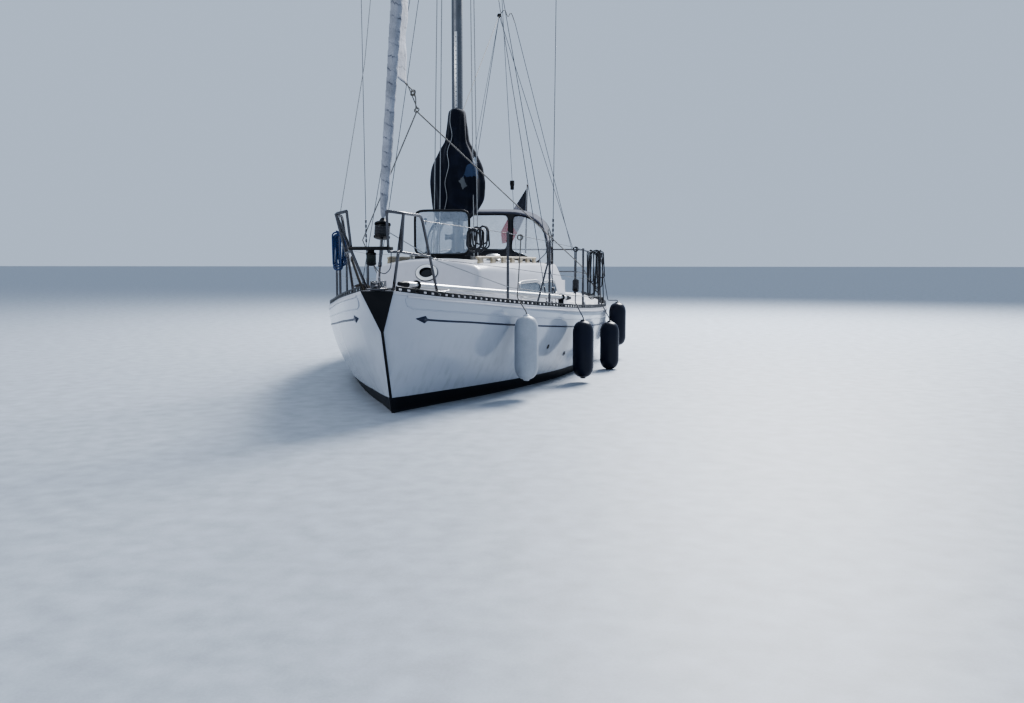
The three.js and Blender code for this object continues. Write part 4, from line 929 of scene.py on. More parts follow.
FINISHES = {
    "floor": in_slot(None, dull_paint, "floor", 0.55, 3.0),
    "hull_paint": in_slot("gelcoat", hull_paint),
    "gelcoat": in_slot("gelcoat", glossy_moulding, "topsides"),
    "deck_gelcoat": in_slot("deck_paint", glossy_moulding, "deck", 0.3, 0.10, (0.7, 1.35, 0.25)),
    "grip": in_slot("deck_paint", grip_paint, "grip"),
    "black_trim": in_slot("black_trim", dull_paint, "boot_top", 0.42, 220.0, 0.2),
    "antifouling": in_slot("antifouling", dull_paint, "bottom", 0.75, 90.0, 0.2),
    "stripe_paint": in_slot("gelcoat", dull_paint, "stripe", 0.3, 220.0, 0.3),
    "white_trim": in_slot("alloy", glossy_moulding, (0.80, 0.81, 0.82)),
    "engine_paint": in_slot("galvanised", dull_paint, (0.10, 0.14, 0.12), 0.45),
    # Near-black for marks that stand for shade: the portlight ring's edges and the mast track's holes
    "rubber": in_slot("black_trim", dull_paint, (0.012, 0.012, 0.013), 0.7, 220.0, 0.2),
    "steel": in_slot("stainless", metal, "steel", 0.20),
    "alloy": in_slot("alloy", metal, "alloy", 0.42),
    "bright_alloy": in_slot("alloy", metal, (0.62, 0.63, 0.64), 0.30),
    "bronze": in_slot("bronze", metal, (0.42, 0.27, 0.12), 0.4),
    "galvanised": in_slot("galvanised", metal, (0.13, 0.12, 0.11), 0.55),
    "teak": in_slot("teak", wood, "teak"),
    "dark_wood": in_slot("teak", wood, (0.075, 0.055, 0.045)),
    "canvas": in_slot("canvas", cloth, "canvas", (0.009, 0.013, 0.030), spots=COVER_HIGHLIGHTS_AND_TAG),
    # Sprayhood canvas: paler navy as a painted sky reflection, near-black ahead of HOOD_FORE
    "hood_canvas": in_slot("canvas", cloth, (0.020, 0.026, 0.052), (0.05, 0.06, 0.10), 0.3, fore=HOOD_FORE),
    "tape": in_slot("canvas", cloth, (0.004, 0.005, 0.008), (0.009, 0.010, 0.015), 0.1, 1800.0),
    "rolled_sail": in_slot("sailcloth", rolled_sail, "sailcloth"),
    "ensign_cloth": in_slot("ensign_cloth", ensign_cloth),
    "blue_rope": in_slot(None, rope, "blue_rope", (0.006, 0.012, 0.04)),
    "black_rope": in_slot(None, rope, "black_rope", (0.022, 0.025, 0.036)),
    "white_rope": in_slot(None, rope, "white_rope", (0.16, 0.165, 0.17)),
    "grey_rope": in_slot(None, rope, (0.15, 0.14, 0.125), (0.07, 0.065, 0.06)),
    "grey_vinyl": in_slot("fender_grey", vinyl, "grey_fender", 0.35),
    "navy_vinyl": in_slot("fender_navy", vinyl, "navy_fender", 0.25),
    "window_pane": in_slot("acrylic", clear_sheet, (0.10, 0.13, 0.17), 0.05, 0.82),
    "dark_pane": in_slot("acrylic", clear_sheet, (0.012, 0.014, 0.018), 0.05, 0.90),
    "hatch_pane": in_slot("acrylic", clear_sheet, (0.36, 0.42, 0.50), 0.10, 0.30),
    "hood_pane": in_slot("acrylic", clear_sheet, (0.70, 0.75, 0.80), 0.10, 0.14),
    "lamp_glass": in_slot("acrylic", clear_sheet, (0.012, 0.018, 0.016), 0.12, 0.85),
}


def finish(name):
    """Material of a finish, made at its first use"""
    label = f"yacht_{name}"
    _, kind, values, options = FINISHES[name]
    made = bpy.data.materials.get(label)
    return made or kind(label, *(setting(v) if isinstance(v, str) else v for v in values), **options)


# Stage

def make_lamp(name, place, target, power, size):
    light = bpy.data.lights.new(name, "AREA")
    light.shape = "RECTANGLE"
    light.size, light.size_y = size
    light.energy = power
    lamp = bpy.data.objects.new(name, light)
    lamp.location = place
    lamp.rotation_mode = "QUATERNION"
    lamp.rotation_quaternion = (Vector(target) - Vector(place)).to_track_quat("-Z", "Y")
    bpy.context.scene.collection.objects.link(lamp)


class YACHT_OT_stage(bpy.types.Operator):
    """Makes the floor, the lights and the camera"""
    bl_idname = "yacht.stage"
    bl_label = "Stage"

    def execute(self, context):
        bm = bmesh.new()
        patch(bm, 1, 1, lambda u, v: Vector(((u - 0.5) * 400, (v - 0.5) * 400, 0.0)))
        make("floor", bm, "floor", body=None)
        world = bpy.data.worlds.new("soft_sky")
        context.scene.world = world
        world.use_nodes = True
        sky = world.node_tree.nodes["Background"].inputs
        sky[0].default_value = rgba(setting("sky"))
        sky[1].default_value = setting("sky_strength")
        make_lamp("key_lamp", (-12.0, 5.5, 14.0), (1.0, 0.0, 1.0), setting("key_power"), (7.0, 7.0))
        make_lamp("fill_lamp", (14.0, -9.0, 7.0), (2.0, 0.0, 1.0), setting("fill_power"), (9.0, 6.0))
        data = bpy.data.cameras.new("camera")
        data.sensor_width = SENSOR
        data.lens = FOCAL_PIXELS * SENSOR / IMAGE_WIDTH
        camera = bpy.data.objects.new("camera", data)
        camera.location = CAMERA_PLACE
        turn, fall = math.radians(CAMERA_BEARING), math.radians(CAMERA_PITCH)
        look = Vector((-math.cos(turn) * math.cos(fall), -math.sin(turn) * math.cos(fall), -math.sin(fall)))
        camera.rotation_mode = "QUATERNION"
        camera.rotation_quaternion = look.to_track_quat("-Z", "Y")
        context.scene.collection.objects.link(camera)
        context.scene.camera = camera
        context.scene.view_settings.look = "AgX - Medium High Contrast"
        return {"FINISHED"}


# Hull

# Cove stripe: it begins as an arrowhead
ARROW_START = 0.24
ARROW_NECK = 0.37
ARROW_WIDTH = 0.070
STRIPE_WIDTH = 0.016


def hull_strip(bm, side, start, end, height, width, out, steps):
    """Band on the hull: height is its middle and width its breadth, both functions of s"""
    def place(u, v):
        s = start + v * (end - start)
        return on_hull(s, height(s) + (u - 0.5) * width(s), side, out)
    patch(bm, 1, steps, place)


def make_hull_skin():
    bm = bmesh.new()
    quarter = math.pi / 2

    def place(u, v):
        share = 2 * u - 1
        s = STERN * (0.35 * v * v + 0.65 * v)
        return hull_point(s, abs(share) * quarter, 1 if share > 0 else -1)

    patch(bm, 72, 110, place)
    for s, across in ((0.0, 2), (STERN, 12)):
        def face(u, v, s=s):
            return hull_point(s, v * quarter, -1).lerp(hull_point(s, v * quarter, 1), u)
        patch(bm, across, 36, face)
    bmesh.ops.remove_doubles(bm, verts=bm.verts, dist=1e-4)
    make("hull_skin", bm, "hull_paint", stands_for=["hull"], sharp=50, wall=0.008)


def stripe_width(s):
    if s < ARROW_NECK - 0.02:
        return 0.004 + (ARROW_WIDTH - 0.004) * (s - ARROW_START) / (ARROW_NECK - 0.02 - ARROW_START)
    if s < ARROW_NECK:
        return ARROW_WIDTH - (ARROW_WIDTH - STRIPE_WIDTH) * (s - ARROW_NECK + 0.02) / 0.02
    return STRIPE_WIDTH


def stripe_height(s):
    return sheer(s) - setting("stripe_drop") + 0.01 * min(1.0, s)


def make_hull_lines():
    drop = setting("moulding_drop")
    stripe, moulding, rim = bmesh.new(), bmesh.new(), bmesh.new()
    for _, side in SIDES:
        hull_strip(stripe, side, ARROW_START, STERN - 0.08, stripe_height, stripe_width, 0.002, 340)
        start = [(0.12, 0.02), (0.125, drop * 0.5), (0.15, drop * 0.88), (0.21, drop + 0.008),
                 (0.32, drop + 0.004)]
        run = [on_hull(s, sheer(s) - d, side, 0.001) for s, d in start]
        run += [on_hull(0.5 + i * 0.1, sheer(0.5 + i * 0.1) - drop, side, 0.001) for i in range(85)]
        tube(moulding, run, 0.0055, 8)
        edge = [on_hull(0.13 + i * 0.09, sheer(0.13 + i * 0.09) - 0.004, side, 0.003) for i in range(98)]
        tube(rim, edge, 0.009, 8)
    make("cove_stripe", stripe, "stripe_paint", wall=0.0015)
    make("rubbing_moulding", moulding, "gelcoat")
    make("deck_edge_rim", rim, "deck_gelcoat")


def make_skin_fittings():
    bm = bmesh.new()
    for s, z, side in ((2.55, 0.42, 1), (3.10, 0.30, 1), (5.2, 0.26, -1), (6.1, 0.32, 1), (6.6, 0.30, -1)):
        here, out = on_hull(s, z, side), on_hull(s, z, side, 0.01)
        lathe(bm, [(0.0, 0.002), (0.011, 0.002), (0.013, 0.007), (0.024, 0.006), (0.027, 0.0), (0.0, 0.0)],
              here, (out - here).normalized(), 20)
    make("skin_fittings", bm, "steel")


class YACHT_OT_hull(bpy.types.Operator):
    """Makes the hull's skin, its stripe and moulding, and the stem wedge"""
    bl_idname = "yacht.hull"
    bl_label = "Hull"

    def execute(self, context):
        make_hull_skin()
        make_hull_lines()
        make_skin_fittings()
        make("stem_wedge", of_node("stem_guard", 0.002), "black_trim", stands_for=["stem_guard"])
        return {"FINISHED"}


# Keel, rudder and propeller

# Pieces under water. Columns: node, name, finish, body, width of the softened edges
KEEL_PIECES = [
    ("fin_keel", "keel_fin", "antifouling", "root", 0.012),
    ("rudder_skeg", "skeg", "antifouling", "root", 0.006),
    ("rudder", "rudder_blade", "antifouling", "rudder", 0.004),
    ("propeller", "propeller_blades", "bronze", "propeller", 0.002),
    ("shaft_bracket", "shaft_and_bracket", "bronze", "root", 0.003),
    ("engine", "engine_block", "engine_paint", "root", 0.02),
]


class YACHT_OT_keels(bpy.types.Operator):
    """Finishes the keel, skeg, rudder, engine, shaft and propeller"""
    bl_idname = "yacht.keels"
    bl_label = "Keel, rudder and propeller"

    def execute(self, context):
        for node, name, look, body, edge in KEEL_PIECES:
            make(name, of_node(node, edge), look, body, [node], 50)
        return {"FINISHED"}


# Deck

# Toe rail: distance from slot to slot, the mesh rows in it, s of its ends and the height of its web
HOLE_PITCH = 0.085
HOLE_CELLS = 10
TOE_RAIL_ENDS = (0.03, 8.9)
WEB_HEIGHT = 0.047

# Grip panels: how far their faces stand above the deck
PANEL_LIFT = 0.0022


def deck_panel(bm, s0, s1, inner, outer, height):
    """Rounded panel that follows a surface: inner and outer are its edges, functions of s"""
    def place(u, v):
        x, y = squircle(u, v, 9.0)
        s = (s0 + s1) / 2 + y * (s1 - s0) / 2
        a, b = inner(s), outer(s)
        breadth = (a + b) / 2 + x * (b - a) / 2
        return at(s, breadth, height(s, breadth) + PANEL_LIFT)
    patch(bm, 10, 24, place)


def make_grip_panels():
    bm = bmesh.new()
    side_runs = [(2.25, 3.25), (3.35, 4.45), (4.55, 5.60), (5.70, 6.75), (6.85, 7.80)]
    for _, side in SIDES:
        for s0, s1 in ((0.62, 1.30), (1.36, 1.90)):
            deck_panel(bm, s0, s1, lambda s: side * 0.05, lambda s: side * (beam(s) - 0.16), deck_z)
        for s0, s1 in side_runs:
            deck_panel(bm, s0, s1, lambda s: side * (roof_row(s)[1] + 0.07 if s < 6.2 else 0.96),
                       lambda s: side * (beam(s) - 0.16), deck_z)
        deck_panel(bm, 8.10, 8.80, lambda s: side * 0.16, lambda s: side * (beam(s) - 0.20), deck_z)
        for s0, s1, inner in ((3.22, 4.10, 0.20), (4.20, 5.10, 0.08)):
            deck_panel(bm, s0, s1, lambda s: side * inner, lambda s: side * roof_row(s)[2] * 0.62, roof_z)
        deck_panel(bm, 2.25, 2.60, lambda s: side * 0.03, lambda s: side * roof_row(s)[2] * 0.60, roof_z)
    make("grip_panels", bm, "grip", wall=0.002)


def make_toe_rail(name, side):
    """Upright web with a row of slots, on a flange"""
    start, end = TOE_RAIL_ENDS
    cells = round((end - start) / HOLE_PITCH)
    bm = bmesh.new()

    def web(u, v):
        s = start + v * (end - start)
        return at(s, side * (beam(s) - 0.010), deck_z(s, beam(s)) - 0.004 + u * WEB_HEIGHT)

    made = patch(bm, 3, cells * HOLE_CELLS, web)
    holes = []
    for face in {f for v in made for f in v.link_faces}:
        middle = face.calc_center_median()
        s = STEM_X - middle.x
        level = (middle.z - deck_z(s, beam(s)) + 0.004) / WEB_HEIGHT
        part = ((s - start) / HOLE_PITCH) % 1.0
        if 0.34 < level < 0.67 and 0.3 < part < 0.7:
            holes.append(face)
    bmesh.ops.delete(bm, geom=holes, context="FACES")

    def flange(u, v):
        s = start + v * (end - start)
        return at(s, side * (beam(s) - 0.010 - u * 0.022), deck_z(s, beam(s)) + 0.002)

    patch(bm, 1, 100, flange)
    make(f"toe_rail_{name}_slotted", bm, "black_trim", stands_for=[f"toe_rail_{name}"], wall=-0.005,
         recalc=False)


def make_cleat(bm, foot, along, length=0.2):
    """Horn cleat: two legs and a bar with raised ends"""
    along = Vector(along).normalized()
    up = Vector((0, 0, 0.045))
    block(bm, foot - Vector((0.045, 0.022, 0.002)), foot + Vector((0.045, 0.022, 0.006)), 0.003)
    for way in (-1, 1):
        leg = foot + along * way * length * 0.16
        tube(bm, [leg, leg + up], 0.009, 8)
    run = [foot + up + along * length * t + Vector((0, 0, 0.014 * abs(2 * t) ** 2)) for t in
           (-0.5, -0.35, -0.15, 0.15, 0.35, 0.5)]
    tube(bm, curve_through(run, 3), lambda share: 0.010 - 0.004 * abs(2 * share - 1) ** 3, 10)


def make_deck_fittings():
    steel = bmesh.new()
    for _, side in SIDES:
        make_cleat(steel, at(0.66, side * 0.40, deck_z(0.66, 0.40)), (1, -0.5 * side, 0))
        make_cleat(steel, at(4.55, side * (beam(4.55) - 0.19), deck_z(4.55, beam(4.55) - 0.19)), (1, 0, 0))
        make_cleat(steel, at(8.62, side * 0.78, deck_z(8.62, 0.78)), (1, 0.3 * side, 0))
    make("deck_cleats", steel, "bright_alloy", sharp=50)
    vents = bmesh.new()
    profile = [(0.0, 0.0), (0.085, 0.0), (0.085, 0.016), (0.060, 0.030), (0.060, 0.050), (0.078, 0.056),
               (0.080, 0.066), (0.060, 0.078), (0.0, 0.084)]
    for _, side in SIDES:
        y = side * 0.44
        lathe(vents, profile, at(3.32, y, roof_z(3.32, y) - 0.004), (0, 0, 1), 32)
    make("roof_vents", vents, "bright_alloy", sharp=50)
    track = bmesh.new()
    for _, side in SIDES:
        run = [at(s, side * (beam(s) - 0.065), deck_z(s, beam(s) - 0.065) + 0.008)
               for s in (5.3, 5.7, 6.1, 6.45)]
        for a, b in zip(run, run[1:]):
            bar(track, a, b, 0.028, 0.014, 0.003)
        car = run[2] + Vector((0, 0, 0.02))
        block(track, car - Vector((0.05, 0.024, 0.012)), car + Vector((0.05, 0.024, 0.022)), 0.006)
        sheave(track, car + Vector((0, 0, 0.045)), 0.028)
    make("genoa_tracks", track, "black_trim")


class YACHT_OT_deck(bpy.types.Operator):
    """Makes the deck, its grip panels, the slotted toe rails and the fittings"""
    bl_idname = "yacht.deck"
    bl_label = "Deck"

    def execute(self, context):
        make("deck_moulding", of_node("deck", 0.010, 22.0), "deck_gelcoat", stands_for=["deck"], sharp=32)
        make_grip_panels()
        for name, side in SIDES:
            make_toe_rail(name, side)
        make_deck_fittings()
        return {"FINISHED"}


# Coachroof

# Stations of the coachroof's shell, closest at the breaks of its front
ROOF_PLACES = [1.78 + 0.006 * i for i in range(26)] + [1.94 + 0.02 * i for i in range(15)] + [
    2.24 + 0.043 * i for i in range(91)] + [6.15]

# Openings in the roof, the companionway last. Columns: s of both ends, half-breadth
COMPANION_HALF = 0.302
ROOF_OPENINGS = [(2.68, 3.08, 0.262), (5.58, 6.30, COMPANION_HALF)]

# Front portlight: height of its middle, and half its breadth and height
PORT_Z = 1.193
PORT_HALF = (0.097, 0.063)

# Feet of the grab rails, by s
GRAB_POSTS = [2.30, 2.75, 3.20, 3.65, 4.10, 4.55, 5.00]


def roof_section(s, drop=0.0):
    """Points of the coachroof's outside from the port deck edge to the starboard one"""
    _, foot, knuckle, knuckle_z, edge, _, _ = roof_row(s)
    base = sheer(s) + 0.006
    crown = [(edge * (1 - i / 20), roof_z(s, edge * (1 - i / 20))) for i in range(1, 21)]
    corners = [(foot, base), (knuckle, knuckle_z), (edge, roof_z(s, edge)), crown[1]]
    side = bent([Vector((y, z, 0)) for y, z in corners], 0.045, 5)
    low = [(foot + (side[1].x - foot) * i / 12, base + (side[1].y - base) * i / 12) for i in range(12)]
    half = low + [(p.x, p.y) for p in side[1:-1]] + crown[1:]
    whole = half + [(-y, z) for y, z in reversed(half[:-1])]
    return [(y, z + (base - z) * drop) for y, z in whole]


def front_place(y, z, out=0.0):
    """Point on the coachroof's raked front"""
    low, high = ROOF[0], ROOF[1]
    ends = [row[5] + (row[6] - row[5]) * (1 - (y / row[4]) ** 2) for row in (low, high)]
    s = low[0] + (high[0] - low[0]) * (z - ends[0]) / (ends[1] - ends[0])
    return at(s - out, y, z + out * 0.5)


def make_roof_shell():
    bm = bmesh.new()
    places = [ROOF_PLACES[0]] + ROOF_PLACES
    sections = [roof_section(s, 1.0 if i == 0 else 0.0) for i, s in enumerate(places)]
    count = len(sections[0])

    def place(u, v):
        i, j = round(v * (len(places) - 1)), round(u * (count - 1))
        return at(places[i], *sections[i][j])

    patch(bm, count - 1, len(places) - 1, place)
    for s0, s1, z0, z1 in WINDOWS:
        for _, side in SIDES:
            half, mid = Vector((s1 - s0, z1 - z0)) / 2, Vector((s0 + s1, z0 + z1)) / 2

            def unit(p, side=side, half=half, mid=mid):
                return p.y * side > 0.6 and ((STEM_X - p.x - mid.x) / half.x, (p.z - mid.y) / half.y)

            def back(x, y, side=side, half=half, mid=mid):
                s, z = mid.x + x * half.x, mid.y + y * half.y
                return at(s, side * wall_y(s, z), z)

            cut_hole(bm, unit, back, 6.0)
    cut_hole(bm, lambda p: STEM_X - p.x < 1.95 and (p.y / PORT_HALF[0], (p.z - PORT_Z) / PORT_HALF[1]),
             lambda x, y: front_place(x * PORT_HALF[0], PORT_Z + y * PORT_HALF[1]), 2.0)
    gone = []
    for face in bm.faces:
        middle = face.calc_center_median()
        s = STEM_X - middle.x
        if middle.z > 1.25 and any(a < s < b and abs(middle.y) < half for a, b, half in ROOF_OPENINGS):
            gone.append(face)
    bmesh.ops.delete(bm, geom=gone, context="FACES")
    make("coachroof_shell", bm, "deck_gelcoat", stands_for=["coachroof"], sharp=180, wall=0.016)


def make_cabin_end():
    """Aft wall of the coachroof on both sides of the companionway"""
    bm = bmesh.new()
    s = ROOF[-1][0] - 0.004
    contour = roof_section(s)[:34]
    for _, side in SIDES:
        def place(u, v, side=side):
            y = COMPANION_HALF + u * (contour[0][0] - COMPANION_HALF)
            outer = next((a, b) for a, b in zip(contour, contour[1:]) if b[0] <= y or b is contour[-1])
            (y0, z0), (y1, z1) = outer
            top = z0 + (z1 - z0) * min(1.0, max(0.0, (y - y0) / (y1 - y0)))
            return at(s, side * y, 0.70 + v * (top - 0.702))
        patch(bm, 30, 12, place)
    make("cabin_end", bm, "deck_gelcoat", wall=-0.014)


def make_cabin_inside():
    """Sole and berth fronts, seen through the open hatch and the windows"""
    sole, berths = bmesh.new(), bmesh.new()
    block(sole, at(6.0, -0.62, -0.238), at(2.5, 0.62, -0.220), 0.004)
    for aft, fore, inner, outer, low, high in ((5.2, 3.2, 0.45, 1.02, -0.218, 0.16),
                                               (3.1, 2.3, 0.12, 0.55, -0.05, 0.20)):
        for _, side in SIDES:
            a, b = sorted((side * inner, side * outer))
            block(berths, at(aft, a, low), at(fore, b, high), 0.02)
    make("cabin_sole", sole, "teak")
    make("cabin_berths", berths, "gelcoat")


def make_window_frames():
    bm = bmesh.new()
    for _, side in SIDES:
        for s0, s1, z0, z1 in WINDOWS:
            loop = []
            for x, y in squircle_loop(56, 6.0):
                s = (s0 + s1) / 2 + x * (s1 - s0 + 0.03) / 2
                z = (z0 + z1) / 2 + y * (z1 - z0 + 0.03) / 2
                loop.append(at(s, side * (wall_y(s, z) + 0.004), z))
            tube(bm, loop, 0.011, 8, up=(0, 1, 0), flat=1.7, closed=True)
    make("window_frames", bm, "bright_alloy", sharp=50)


def make_portlight():
    """Broad oval ring round the pane, with a dark band on both edges as painted shade along them"""
    ring, edge_shade = bmesh.new(), bmesh.new()
    # The two dark bands are painted shade along the ring's edges
    rows = [(ring, 0.088, 0.061, 0.009, 0.008, 2.3), (edge_shade, 0.067, 0.044, 0.0045, 0.014, 1.0),
            (edge_shade, 0.109, 0.080, 0.0050, 0.005, 1.0)]
    for bm, across, up, radius, out, flat in rows:
        turns = [2 * math.pi * i / 56 for i in range(56)]
        loop = [front_place(across * math.cos(t), PORT_Z + up * math.sin(t), out) for t in turns]
        tube(bm, loop, radius, 12, up=(1, 0, 0.5), flat=flat, closed=True)
    make("portlight_ring", ring, "white_trim")
    make("portlight_seal", edge_shade, "rubber")


def make_grab_rail(name, side):
    """Teak rail that dips between its broad feet"""
    bm = bmesh.new()

    def foot(s):
        y = roof_row(s)[4] * 0.86
        return at(s, side * y, roof_z(s, y))

    start, end = GRAB_POSTS[0] - 0.12, GRAB_POSTS[-1] + 0.12
    run = [foot(start + (end - start) * i / 60) + Vector((0, 0, 0.056)) for i in range(61)]
    tube(bm, run, 0.0135, 10, up=(0, 0, 1), flat=1.0)
    for s in GRAB_POSTS:
        low, top = foot(s), foot(s) + Vector((0, 0, 0.058))
        for t in (0.0, 0.25, 0.5, 0.75):
            half = 0.150 - 0.030 * math.sin(math.pi * (t + 0.125))
            a, b = low.lerp(top, t), low.lerp(top, t + 0.25)
            block(bm, (a.x - half, a.y - 0.011, a.z - 0.006), (a.x + half, a.y + 0.011, b.z + 0.002), 0.003)
    make(f"grab_rail_{name}_teak", bm, "teak", stands_for=[f"grab_rail_{name}"], sharp=55)


def make_companionway():
    low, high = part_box("sliding_hatch")
    bm = bmesh.new()

    def top(u, v):
        x, y = squircle(u, v, 14.0)
        crown = 0.010 * (1 - x * x)
        return Vector(((low.x + high.x) / 2 + y * (high.x - low.x) / 2,
                       (low.y + high.y) / 2 + x * (high.y - low.y - 0.003) / 2, high.z - 0.012 + crown))

    patch(bm, 20, 24, top)
    make("sliding_hatch_top", bm, "deck_gelcoat", "sliding_hatch", ["sliding_hatch"], wall=0.018)
    grip = bmesh.new()
    block(grip, (low.x + 0.02, -0.11, high.z - 0.004), (low.x + 0.045, 0.11, high.z + 0.018), 0.006)
    make("sliding_hatch_grip", grip, "teak", "sliding_hatch")
    for name, _ in SIDES:
        make(f"hatch_rail_{name}", of_node(f"hatch_runner_{name}", 0.005), "teak",
             stands_for=[f"hatch_runner_{name}"])
    low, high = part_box("washboards")
    boards = bmesh.new()
    height = (high.z - low.z) / 3
    for i in range(3):
        foot, head = low.z + i * height + 0.001, low.z + (i + 1) * height - 0.001
        block(boards, (low.x, low.y, foot), (high.x, high.y, head), 0.003)
    make("drop_boards", boards, "teak", stands_for=["washboards"])


class YACHT_OT_coachroof(bpy.types.Operator):
    """Makes the coachroof with its windows, portlight, grab rails and companionway"""
    bl_idname = "yacht.coachroof"
    bl_label = "Coachroof"

    def execute(self, context):
        make_roof_shell()
        make_cabin_end()
        make_cabin_inside()
        for part in ("fore", "aft"):
            for name, _ in SIDES:
                finish_node(f"window_{part}_{name}", "window_pane")
        finish_node("portlight", "dark_pane")
        make_window_frames()
        make_portlight()
        for name, side in SIDES:
            make_grab_rail(name, side)
        make_companionway()
        return {"FINISHED"}


# Fore hatch

# The lid as it stands open: x and z of its hinge, its length and half-breadth, and how far ahead of
# the hinge its middle lies
HATCH_HINGE_X = 1.86
HATCH_HINGE_Z = 1.368
HATCH_LENGTH = 0.48
HATCH_HALF = 0.30
HATCH_FACE = 0.011


def hatch_place(x, y, out):
    """Point of the open lid: x and y from -1 to 1"""
    return Vector((HATCH_HINGE_X + HATCH_FACE + out, x * HATCH_HALF,
                   HATCH_HINGE_Z + (1 + y) * HATCH_LENGTH / 2))


class YACHT_OT_fore_hatch(bpy.types.Operator):
    """Makes the fore hatch: its rim, and the clear lid that stands open"""
    bl_idname = "yacht.fore_hatch"
    bl_label = "Fore hatch"

    def execute(self, context):
        make("hatch_rim", of_node("fore_hatch_frame", 0.004), "black_trim", stands_for=["fore_hatch_frame"])
        pane, edge, grips = bmesh.new(), bmesh.new(), bmesh.new()

        def place(u, v):
            x, y = squircle(u, v, 8.0)
            return hatch_place(x * 0.985, y * 0.985, 0.005)

        patch(pane, 16, 14, place)
        make("hatch_pane", pane, "hatch_pane", "fore_hatch_lid", ["fore_hatch_lid"], wall=0.010)
        loop = [hatch_place(x * 0.970, y * 0.965, 0.0) for x, y in squircle_loop(72, 8.0)]
        tube(edge, loop, 0.010, 8, up=(1, 0, 0), flat=1.35, closed=True)
        for y in (-0.17, 0.17):
            hinge = Vector((HATCH_HINGE_X, y, HATCH_HINGE_Z))
            tube(edge, [hinge - Vector((0, 0.025, 0)), hinge + Vector((0, 0.025, 0))], 0.006, 12)
            block(edge, hinge - Vector((0.002, 0.022, 0)), hinge + Vector((0.008, 0.022, 0.04)), 0.002)
        make("hatch_edge", edge, "black_trim", "fore_hatch_lid")
        for y in (-0.6, 0.6):
            hub = hatch_place(y, 0.58, -0.010)
            lathe(grips, [(0.0, 0.0), (0.016, 0.0), (0.016, 0.014), (0.0, 0.018)], hub, (-1, 0, 0), 16)
            top = hub + Vector((-0.012, 0, 0))
            bar(grips, top, top + Vector((0.0, 0.0, -0.055)), 0.014, 0.008, 0.002)
        make("hatch_handles", grips, "black_trim", "fore_hatch_lid")
        return {"FINISHED"}


# Cockpit

def slat_panel(bm, s0, s1, y0, y1, z, count):
    """Teak slats laid fore and aft"""
    pitch = (y1 - y0) / count
    for i in range(count):
        a, b = y0 + i * pitch + 0.0025, y0 + (i + 1) * pitch - 0.0025
        low, high = at(s1, a, z), at(s0, b, z + 0.007)
        block(bm, low, high, 0.0015)


def make_winch(name):
    bm = bmesh.new()
    low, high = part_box(f"winch_{name}")
    foot = Vector(((low.x + high.x) / 2, (low.y + high.y) / 2, low.z))
    profile = [(0.0, 0.0), (0.062, 0.0), (0.062, 0.008), (0.052, 0.014), (0.046, 0.022), (0.046, 0.030),
               (0.040, 0.040), (0.036, 0.066), (0.038, 0.090), (0.050, 0.100), (0.052, 0.108), (0.046, 0.114),
               (0.030, 0.116), (0.030, 0.122), (0.014, 0.124), (0.012, 0.112), (0.0, 0.112)]
    lathe(bm, profile, foot, (0, 0, 1), 40)
    for i in range(20):
        turn = 2 * math.pi * i / 20
        rib = foot + Vector((0.0385 * math.cos(turn), 0.0385 * math.sin(turn), 0.0))
        tube(bm, [rib + Vector((0, 0, 0.042)), rib + Vector((0, 0, 0.090))], 0.002, 6)
    make(f"winch_{name}_drum", bm, "steel", stands_for=[f"winch_{name}"], sharp=35)


def make_tiller():
    low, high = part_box("tiller")
    bm = bmesh.new()
    run = curve_through([(low.x, 0, 0.905), (low.x + 0.36, 0, 0.955), (low.x + 0.76, 0, 0.970),
                         (high.x, 0, 0.940)], 10)
    tube(bm, run, lambda t: 0.020 - 0.007 * t + 0.004 * max(0.0, t - 0.9) * 10, 14, up=(0, 0, 1), flat=0.85)
    make("tiller_bar", bm, "teak", "rudder", ["tiller"], 55)
    head = bmesh.new()
    for side in (-1, 1):
        y = side * 0.024
        block(head, (low.x - 0.030, y - 0.003, 0.886), (low.x + 0.12, y + 0.003, 0.926), 0.002)
    for shift in (0.03, 0.09):
        tube(head, [(low.x + shift, -0.034, 0.906), (low.x + shift, 0.034, 0.906)], 0.005, 10)
    make("tiller_straps", head, "steel", "rudder")


class YACHT_OT_cockpit(bpy.types.Operator):
    """Makes the cockpit, its slatted seats, lids, winches and tiller"""
    bl_idname = "yacht.cockpit"
    bl_label = "Cockpit"

    def execute(self, context):
        make("cockpit_shell", of_node("cockpit_moulding", 0.008), "deck_gelcoat",
             stands_for=["cockpit_moulding"])
        slats = bmesh.new()
        slat_panel(slats, 6.30, 7.85, -0.27, 0.27, 0.330, 9)
        for _, side in SIDES:
            for s0, s1 in ((6.23, 6.42), (7.38, 7.92)):
                a, b = sorted((side * 0.325, side * 0.71))
                slat_panel(slats, s0, s1, a, b, 0.700, 7)
        make("cockpit_slats", slats, "teak")
        for name, side in SIDES:
            body = f"locker_lid_{name}"
            make(f"{body}_panel", of_node(body, 0.003), "deck_gelcoat", body, [body])
            boards = bmesh.new()
            a, b = sorted((side * 0.315, side * 0.675))
            slat_panel(boards, 6.47, 7.33, a, b, 0.700, 7)
            make(f"{body}_slats", boards, "teak", body)
            make_winch(name)
        make_tiller()
        return {"FINISHED"}


# Bow

# Corners of the rail and of its middle bar. Columns: s, y, z
PULPIT_RAIL = [(-0.300, 0.160, 1.700), (-0.215, 0.275, 1.685), (0.150, 0.335, 1.680)]
PULPIT_MID = [(-0.215, 0.150, 1.385), (-0.110, 0.230, 1.382), (0.345, 0.358, 1.350)]

# Feet of the rail by s and y, and the roller's place by s and z
PULPIT_FEET = {"inner": (0.100, 0.105), "outer": (0.610, 0.375)}
ROLLER_PLACE = (-0.045, 1.112)


def rail_foot(bm, point, radius=0.028):
    lathe(bm, [(0.0, 0.0), (radius, 0.0), (radius, 0.006), (radius * 0.62, 0.012), (radius * 0.58, 0.024),
               (0.0, 0.024)], point, (0, 0, 1), 20)


